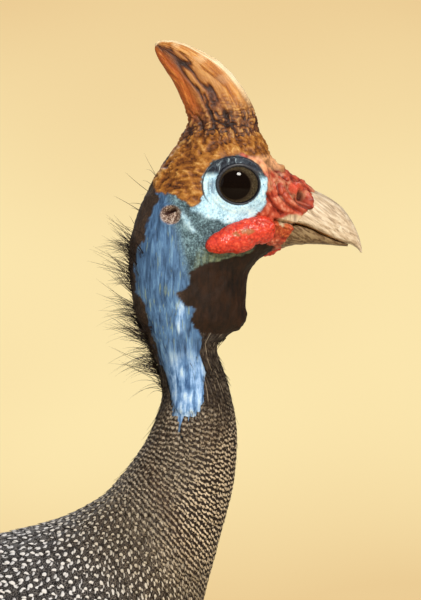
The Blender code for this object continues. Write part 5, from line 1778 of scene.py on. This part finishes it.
def make_bristles(settings):
    """Black bristles in ragged tufts up the nape, long ones above them, and hair-like tips on the neck."""
    draw = np.random.default_rng(41)
    finish = hair_finish()
    tufts = np.concatenate(
        [draw.uniform(14.7, 20.7, 34), draw.uniform(14.8, 17.6, 18), draw.uniform(20.2, 22.8, 15)]
    )
    each = np.where(tufts > 20.7, 1, draw.integers(4, 12, len(tufts)))
    count = each.sum()

    def shared(low, high):
        """One random number for each tuft, given to all its bristles."""
        return np.repeat(draw.uniform(low, high, len(tufts)), each)

    place = np.repeat(tufts, each) + draw.normal(0, 0.12, count)
    angle = np.repeat(draw.normal(0, 0.28, len(tufts)), each) + draw.normal(0, 0.07, count)
    marks = (14.7, 16.5, 18.0, 19.4, 20.6, 23.5)
    climb = np.radians(
        np.interp(place, marks, (36, 42, 26, 36, 30, 20)) + shared(-24, 22) + draw.normal(0, 4, count)
    )
    length = settings.bristle_length * np.interp(place, marks, (11.0, 14.0, 12.5, 13.0, 10.0, 9.0))
    length = length * shared(0.60, 1.15) * draw.uniform(0.55, 1.05, count)
    out, down = directions(place, angle)
    up = np.array([0, 0, 1.0])
    aims = out * np.cos(climb)[:, None] + up * np.sin(climb)[:, None] + draw.normal(0, 0.05, (count, 3))
    bends = (
        out * draw.uniform(-0.1, 0.2, (count, 1))
        - up * (shared(-0.25, 0.60) + draw.uniform(-0.15, 0.25, count))[:, None]
    )
    groups = [(place, angle, aims, bends, length, draw.uniform(0.06, 0.115, count))]
    for count, low, high, middle, spread, lift, long, thick in (
        (240, 14.8, 20.8, 0.0, 0.22, None, 3.8, 0.08),
        (150, 15.3, 17.0, math.pi, 0.75, 0.22, 5.5, 0.10),
        (130, 13.2, 15.6, math.pi, 1.00, 0.12, 5.0, 0.07),
        (190, 11.2, 15.0, 0.0, 0.75, 0.16, 6.5, 0.07),
    ):
        place, angle = draw.uniform(low, high, count), middle + draw.normal(0, spread, count)
        out, down = directions(place, angle)
        if lift is None:
            aims = out * 0.45 + up * draw.uniform(0.4, 1.0, (count, 1)) + draw.normal(0, 0.12, (count, 3))
        else:
            aims = out * lift * draw.uniform(0.3, 1.5, (count, 1)) + down + draw.normal(0, 0.05, (count, 3))
        bends = draw.normal(0, 0.08, (count, 3))
        groups.append(
            (place, angle, aims, bends, long * draw.uniform(0.5, 1.1, count), np.full(count, thick))
        )
    place, angle, aims, bends, length, thick = (np.concatenate(part) for part in zip(*groups))
    aims /= np.linalg.norm(aims, axis=1)[:, None]
    roots = body_points(place, angle, -0.5)
    mesh, made = strands("neck_bristles", roots, aims, bends, length, thick, finish, draw)
    unwrap = np.column_stack(
        [np.mod(angle / FULL_TURN, 1) * 0.96 + 0.02, (place + RUMP) / (HEAD_END + RUMP) * 0.96 + 0.02]
    )
    shift = np.tile(np.linspace(-0.0015, 0.0015, 21)[:, None] * (0, 1), (len(place), 1))
    write_map(mesh, "OFBake", np.repeat(unwrap, 21, axis=0) + shift)
    dress(made, "plumage")


# Legs and feet


def disc_rings(line, axis, across, wide, deep, around):
    """Rings round the points of a line, wide along across and deep the other way."""
    axis = axis / np.linalg.norm(axis)
    across = across - axis * (axis @ across)
    across = across / np.linalg.norm(across)
    other = np.cross(axis, across)
    turn = np.linspace(0, 2 * math.pi, around, endpoint=False)
    return (
        line[:, None]
        + across * (np.asarray(wide)[:, None] * np.cos(turn))[..., None]
        + other * (np.asarray(deep)[:, None] * np.sin(turn))[..., None]
    )


def scute_steps(along, count, edge=0.16):
    """The relief of a row of plates: each rises slowly and ends in a step."""
    share = np.mod(along * count, 1)
    height = rise(share, 0.0, 0.3) * (1 - 0.35 * share) * (1 - rise(share, 1 - edge, 1.0))
    return height, 1 - rise(np.minimum(share, 1 - share), 0.03, 0.10)


def make_legs(settings):
    """Shanks, pads and toes with their plates and small scales."""
    finish = leg_finish(settings)
    for side, name in ((1, "left"), (-1, "right")):
        foot, hock = leg_points(side)
        axis = hock - foot
        solids = []
        share = np.linspace(0, 1, 260)
        wide = np.interp(share, *zip(*SHANK_WIDTHS))
        rings = disc_rings(
            foot + axis * share[:, None], axis, np.array([1.0, 0, 0]), wide * 1.15, wide * 0.9, 64
        )
        solids.append((rings, "shank"))
        for toe in TOES:
            label, yaw, sideways, length, radius = toe
            turn = math.radians(-side * yaw)
            start = np.array([foot[0], foot[1] - side * sideways, FLOOR])
            ahead = np.array([math.cos(turn), math.sin(turn), 0])
            share = np.linspace(0, 1, 130)
            thick = radius * (1 - 0.32 * share) * (1 + 0.07 * np.cos(share * 7 * math.pi))
            height = thick * 0.86 + (7.0 if label == "hind" else 1.5) * (1 - share) ** 2
            line = start + ahead * (length * share)[:, None] + np.array([0, 0, 1]) * height[:, None]
            rings = disc_rings(line, ahead, np.array([-ahead[1], ahead[0], 0]), thick, thick, 40)
            rings[..., 2] = np.maximum(rings[..., 2], FLOOR)
            solids.append((rings, (start, ahead, length)))
        pad_levels = ((0, 0.8), (0.15, 1.0), (0.6, 0.95), (1.0, 0.5))
        heights = np.linspace(0, 1, 24)
        pad_wide = PAD_RADIUS * np.interp(heights, *zip(*pad_levels))
        line = np.column_stack([np.full(24, foot[0]), np.full(24, foot[1]), FLOOR + PAD_HEIGHT * heights])
        solids.append(
            (
                disc_rings(line, np.array([0, 0, 1.0]), np.array([1.0, 0, 0]), pad_wide, pad_wide * 0.95, 48),
                "pad",
            )
        )
        pieces = []
        for rings, kind in solids:
            piece = tube("scaled", rings)
            mesh = piece.data
            points, normals = placed_points(mesh), normals_of(mesh)
            grain = pebbles(points, 1.7, 95)
            small, gaps = SMALL_SCALE_HEIGHT * (0.55 - grain), rise(grain, 0.62, 0.85)
            if isinstance(kind, tuple):
                start, ahead, length = kind
                along = (points - start) @ ahead / length
                plate, seam = scute_steps(along, max(int(length / 2.3), 5))
                top = rise(normals[:, 2], 0.1, 0.5)
                lift = top * plate * TOE_SCUTE_HEIGHT + (1 - top) * small
                seam = top * seam + (1 - top) * gaps
            elif kind == "shank":
                along = (points - foot) @ axis / (axis @ axis)
                plate, seam = scute_steps(1 - along, settings.shank_scutes)
                face = rise(normals[:, 0], 0.15, 0.55)
                lift = face * plate * SHANK_SCUTE_HEIGHT + (1 - face) * small
                seam = face * seam + (1 - face) * gaps
            else:
                lift, seam = small, gaps
            lift = lift * rise(points[:, 2] - FLOOR, 0.05, 0.8)
            points = points + normals * lift[:, None]
            points[:, 2] = np.maximum(points[:, 2], FLOOR)
            move_to(mesh, points)
            write_value(mesh, "seam", seam * 0.6)
            pieces.append(piece)
        whole = joined_objects(f"scaled_leg_{name}", pieces)
        whole.data.materials.append(finish)
        dress(whole, "leg_scale", f"shank_{name}", *(f"toe_{name}_{toe[0]}" for toe in TOES))


def joined_objects(name, pieces):
    """One object from several, with their points' numbers kept."""
    with bpy.context.temp_override(
        active_object=pieces[0], object=pieces[0], selected_objects=pieces, selected_editable_objects=pieces
    ):
        bpy.ops.object.join()
    pieces[0].name = name
    pieces[0].data.name = name
    return pieces[0]


def make_claws():
    """A curved claw at the end of each toe."""
    finish = claw_finish()
    for side, name in ((1, "left"), (-1, "right")):
        foot, _ = leg_points(side)
        for label, yaw, sideways, length, radius in TOES:
            turn = math.radians(-side * yaw)
            start = np.array([foot[0], foot[1] - side * sideways, FLOOR])
            ahead = np.array([math.cos(turn), math.sin(turn), 0])
            thick = radius * 0.68 * 1.07
            share = np.linspace(0, 1, 40)
            size = thick * 0.86 * (1 - share) ** 0.7 + 0.18
            reach = length - 0.5 + (CLAW_LENGTH + 0.5) * (1 - 0.3 * (label == "hind")) * share
            line = start + ahead * reach[:, None]
            line[:, 2] = FLOOR + thick * 0.9 - (thick * 0.9 - 0.5) * share**2
            rings = disc_rings(line, ahead, np.array([0, 0, 1.0]), size, size * 0.8, 28)
            rings[..., 2] = np.maximum(rings[..., 2], FLOOR + 0.1)
            dress(tube(f"claw_horn_{name}_{label}", rings, finish), "claw_horn", f"claw_{name}_{label}")


# The stage


def make_stage(settings):
    """A pale round floor, a pale warm surround, soft lights and the camera."""
    scene = bpy.context.scene
    angles = np.linspace(0, 2 * math.pi, 96, endpoint=False)
    mesh = bpy.data.meshes.new("floor")
    mesh.from_pydata([(2.5 * math.cos(a), 2.5 * math.sin(a), 0) for a in angles], [], [tuple(range(96))])
    floor = new_object("floor", mesh, smooth=False)
    f = Finish("pale_floor", 0.8)
    tone = f.lumps(160.0, 3)
    f.set(Base_Color=f.mix(tone, (0.74, 0.62, 0.42), (0.82, 0.70, 0.50)))
    mesh.materials.append(f.material)
    world = bpy.data.worlds.new("surround")
    world.use_nodes = True
    w = Nodes(world.node_tree)
    ray = w.node("ShaderNodeTexCoord")
    height = w.part(ray, "Z")
    haze = w.node(
        "ShaderNodeTexNoise", None,
        {"Vector": w.vector("MULTIPLY", ray, (22, 22, 34)), "Scale": 1.0, "Detail": 1.0},
    )
    band = (height * height).falls(0.0, 0.0011) * 0.75 + (haze - 0.5) * 0.9
    seen = w.mix(band.most(0.0).least(1.0), settings.surround, settings.surround_light)
    glow = w.mix(height.rises(-0.6, 0.6), (0.24, 0.185, 0.11), (0.20, 0.215, 0.24))
    camera_ray = w.node("ShaderNodeLightPath")
    light = world.node_tree.nodes["Background"].inputs["Color"]
    world.node_tree.links.new(w.mix(camera_ray, glow, seen).socket, light)
    scene.world = world
    target = Vector((EYE[0] - 0.02, 0, EYE[2] - 0.06))
    for name, at, size, power, colour in (
        ("key", (0.75, -2.1, 1.4), 0.45, settings.key_power, (1.0, 0.95, 0.87)),
        ("fill", (-1.7, -1.6, 0.5), 1.6, settings.key_power * 0.10, (0.90, 0.95, 1.0)),
        ("back", (-0.6, 1.9, 1.6), 1.4, settings.key_power * 0.30, (1.0, 0.97, 0.93)),
    ):
        lamp = bpy.data.lights.new(name, "AREA")
        lamp.shape, lamp.size, lamp.energy, lamp.color = "DISK", size, power, colour
        made = bpy.data.objects.new(name, lamp)
        made.location = target + Vector(at)
        made.rotation_euler = (-Vector(at)).to_track_quat("-Z", "Y").to_euler()
        scene.collection.objects.link(made)
    camera = bpy.data.cameras.new("camera")
    camera.lens, camera.sensor_width = 200 * settings.camera_distance, 36
    made = bpy.data.objects.new("camera", camera)
    made.location = (EYE[0] - 0.00825, -settings.camera_distance, EYE[2] - 0.0345)
    made.rotation_euler = (math.pi / 2, 0, 0)
    scene.collection.objects.link(made)
    scene.camera = made
    scene.view_settings.view_transform = "Standard"


# The add-on


def colour(name, description, default):
    """A colour that a user can change."""
    return bpy.props.FloatVectorProperty(
        name=name, description=description, default=default, subtype="COLOR", size=3, min=0, max=1
    )


def relief_height(name, description, default):
    """A small height in metres that a user can change."""
    return bpy.props.FloatProperty(
        name=name, description=description, default=default, min=0, max=3 * MM, precision=5, unit="LENGTH"
    )


class HeadSettings(bpy.types.PropertyGroup):
    neck_blue: colour("Neck blue", "Middle tone of the bare blue skin", (0.095, 0.205, 0.385))
    crown_orange: colour("Crown orange", "Middle tone of the crown", (0.40, 0.155, 0.024))
    cere_red: colour("Cere red", "Middle tone of the skin before the eye", (0.52, 0.090, 0.042))
    wattle_red: colour("Wattle red", "Middle tone of the wattles", (0.62, 0.032, 0.014))
    crown_relief: relief_height("Crown relief", "Height of the crown's wrinkles", 1.25 * MM)
    cere_relief: relief_height("Cere relief", "Height of the warts before the eye", 0.85 * MM)


class PlumageSettings(bpy.types.PropertyGroup):
    ground: colour("Ground", "Dark colour of the body's feathers", (0.011, 0.010, 0.012))
    spots: colour("Spots", "Pale spots of the body's feathers", (0.78, 0.77, 0.78))
    neck_ground: colour("Neck ground", "Dark colour of the neck's feathers", (0.022, 0.013, 0.008))
    neck_spots: colour("Neck spots", "Pale spots of the neck's feathers", (0.60, 0.51, 0.37))
    neck_bars: colour("Neck bars", "Beaded bars of the neck's feathers", (0.74, 0.60, 0.43))
    bristle_length: bpy.props.FloatProperty(
        name="Nape bristles", description="Length of the nape's bristles, as a share", default=1.0, min=0.1,
        max=1.5, subtype="FACTOR",
    )


class FootSettings(bpy.types.PropertyGroup):
    scales: colour("Scales", "Middle tone of the legs and toes", (0.070, 0.066, 0.066))
    shank_scutes: bpy.props.IntProperty(
        name="Shank plates", description="Plates down the front of each shank", default=19, min=8, max=40,
        subtype="UNSIGNED",
    )


class StageSettings(bpy.types.PropertyGroup):
    surround: colour("Surround", "Colour behind the bird", (0.84, 0.61, 0.30))
    surround_light: colour("Lit surround", "Colour of its lighter band", (0.99, 0.82, 0.44))
    key_power: bpy.props.FloatProperty(
        name="Key light", description="Power of the main soft light", default=68.0, min=0, unit="POWER"
    )
    camera_distance: bpy.props.FloatProperty(
        name="Camera distance", description="From the camera to the bird", default=3.0, min=0.5, unit="LENGTH"
    )


SETTINGS = {
    "guinea_fowl_head": HeadSettings,
    "guinea_fowl_plumage": PlumageSettings,
    "guinea_fowl_feet": FootSettings,
    "guinea_fowl_stage": StageSettings,
}


class GUINEAFOWL_OT_skin(bpy.types.Operator):
    """One skin over head, neck, body and thighs"""

    bl_idname = "guinea_fowl.skin"
    bl_label = "Skin"

    def execute(self, context):
        make_skin(context.scene.guinea_fowl_head)
        return {"FINISHED"}


class GUINEAFOWL_OT_eyes(bpy.types.Operator):
    """Eyes and the dark edges of their lids"""

    bl_idname = "guinea_fowl.eyes"
    bl_label = "Eyes"

    def execute(self, context):
        make_eyes()
        return {"FINISHED"}


class GUINEAFOWL_OT_casque(bpy.types.Operator):
    """The fibrous horn on the crown"""

    bl_idname = "guinea_fowl.casque"
    bl_label = "Casque"

    def execute(self, context):
        make_casque()
        return {"FINISHED"}


class GUINEAFOWL_OT_bill(bpy.types.Operator):
    """Both halves of the bill"""

    bl_idname = "guinea_fowl.bill"
    bl_label = "Bill"

    def execute(self, context):
        make_bill()
        return {"FINISHED"}


class GUINEAFOWL_OT_wattles(bpy.types.Operator):
    """The red pebbled wattles"""

    bl_idname = "guinea_fowl.wattles"
    bl_label = "Wattles"

    def execute(self, context):
        make_wattles(context.scene.guinea_fowl_head)
        return {"FINISHED"}


class GUINEAFOWL_OT_body_plumage(bpy.types.Operator):
    """Small spotted feathers of the neck and body"""

    bl_idname = "guinea_fowl.body_plumage"
    bl_label = "Body plumage"

    def execute(self, context):
        make_body_plumage(plumage_finish(context.scene.guinea_fowl_plumage))
        return {"FINISHED"}


class GUINEAFOWL_OT_wings(bpy.types.Operator):
    """Feathers of the folded wings"""

    bl_idname = "guinea_fowl.wings"
    bl_label = "Wings"

    def execute(self, context):
        make_wings(plumage_finish(context.scene.guinea_fowl_plumage))
        return {"FINISHED"}


class GUINEAFOWL_OT_tail(bpy.types.Operator):
    """The fan of tail feathers"""

    bl_idname = "guinea_fowl.tail"
    bl_label = "Tail"

    def execute(self, context):
        make_tail(plumage_finish(context.scene.guinea_fowl_plumage))
        return {"FINISHED"}


class GUINEAFOWL_OT_thighs(bpy.types.Operator):
    """Feathers of the drumsticks"""

    bl_idname = "guinea_fowl.thighs"
    bl_label = "Thigh plumage"

    def execute(self, context):
        make_thigh_plumage(plumage_finish(context.scene.guinea_fowl_plumage))
        return {"FINISHED"}


class GUINEAFOWL_OT_bristles(bpy.types.Operator):
    """The black bristles of the nape and neck"""

    bl_idname = "guinea_fowl.bristles"
    bl_label = "Bristles"

    def execute(self, context):
        make_bristles(context.scene.guinea_fowl_plumage)
        return {"FINISHED"}


class GUINEAFOWL_OT_legs(bpy.types.Operator):
    """Scaled shanks and toes"""

    bl_idname = "guinea_fowl.legs"
    bl_label = "Legs"

    def execute(self, context):
        make_legs(context.scene.guinea_fowl_feet)
        return {"FINISHED"}


class GUINEAFOWL_OT_claws(bpy.types.Operator):
    """A claw for each toe"""

    bl_idname = "guinea_fowl.claws"
    bl_label = "Claws"

    def execute(self, context):
        make_claws()
        return {"FINISHED"}


class GUINEAFOWL_OT_stage(bpy.types.Operator):
    """Floor, surround, lights and camera"""

    bl_idname = "guinea_fowl.stage"
    bl_label = "Stage"

    def execute(self, context):
        make_stage(context.scene.guinea_fowl_stage)
        return {"FINISHED"}


OPERATORS = (
    GUINEAFOWL_OT_skin,
    GUINEAFOWL_OT_eyes,
    GUINEAFOWL_OT_casque,
    GUINEAFOWL_OT_bill,
    GUINEAFOWL_OT_wattles,
    GUINEAFOWL_OT_body_plumage,
    GUINEAFOWL_OT_wings,
    GUINEAFOWL_OT_tail,
    GUINEAFOWL_OT_thighs,
    GUINEAFOWL_OT_bristles,
    GUINEAFOWL_OT_legs,
    GUINEAFOWL_OT_claws,
    GUINEAFOWL_OT_stage,
)


class GUINEAFOWL_PT_panel(bpy.types.Panel):
    """The bird's settings and its pieces, in the order in which they are made."""

    bl_idname = "GUINEAFOWL_PT_panel"
    bl_label = "Guinea Fowl"
    bl_space_type = "VIEW_3D"
    bl_region_type = "UI"
    bl_category = "Guinea Fowl"

    def draw(self, context):
        for group, kind in SETTINGS.items():
            box = self.layout.box()
            for name in kind.__annotations__:
                box.prop(getattr(context.scene, group), name)
        for kind in OPERATORS:
            self.layout.operator(kind.bl_idname)


CLASSES = (*SETTINGS.values(), *OPERATORS, GUINEAFOWL_PT_panel)


def register():
    for kind in CLASSES:
        bpy.utils.register_class(kind)
    for group, kind in SETTINGS.items():
        setattr(bpy.types.Scene, group, bpy.props.PointerProperty(type=kind))


def unregister():
    for group in SETTINGS:
        delattr(bpy.types.Scene, group)
    for kind in reversed(CLASSES):
        bpy.utils.unregister_class(kind)


def main():
    register()
    for kind in OPERATORS:
        section, name = kind.bl_idname.split(".")
        getattr(getattr(bpy.ops, section), name)()


if __name__ == "__main__":
    main()
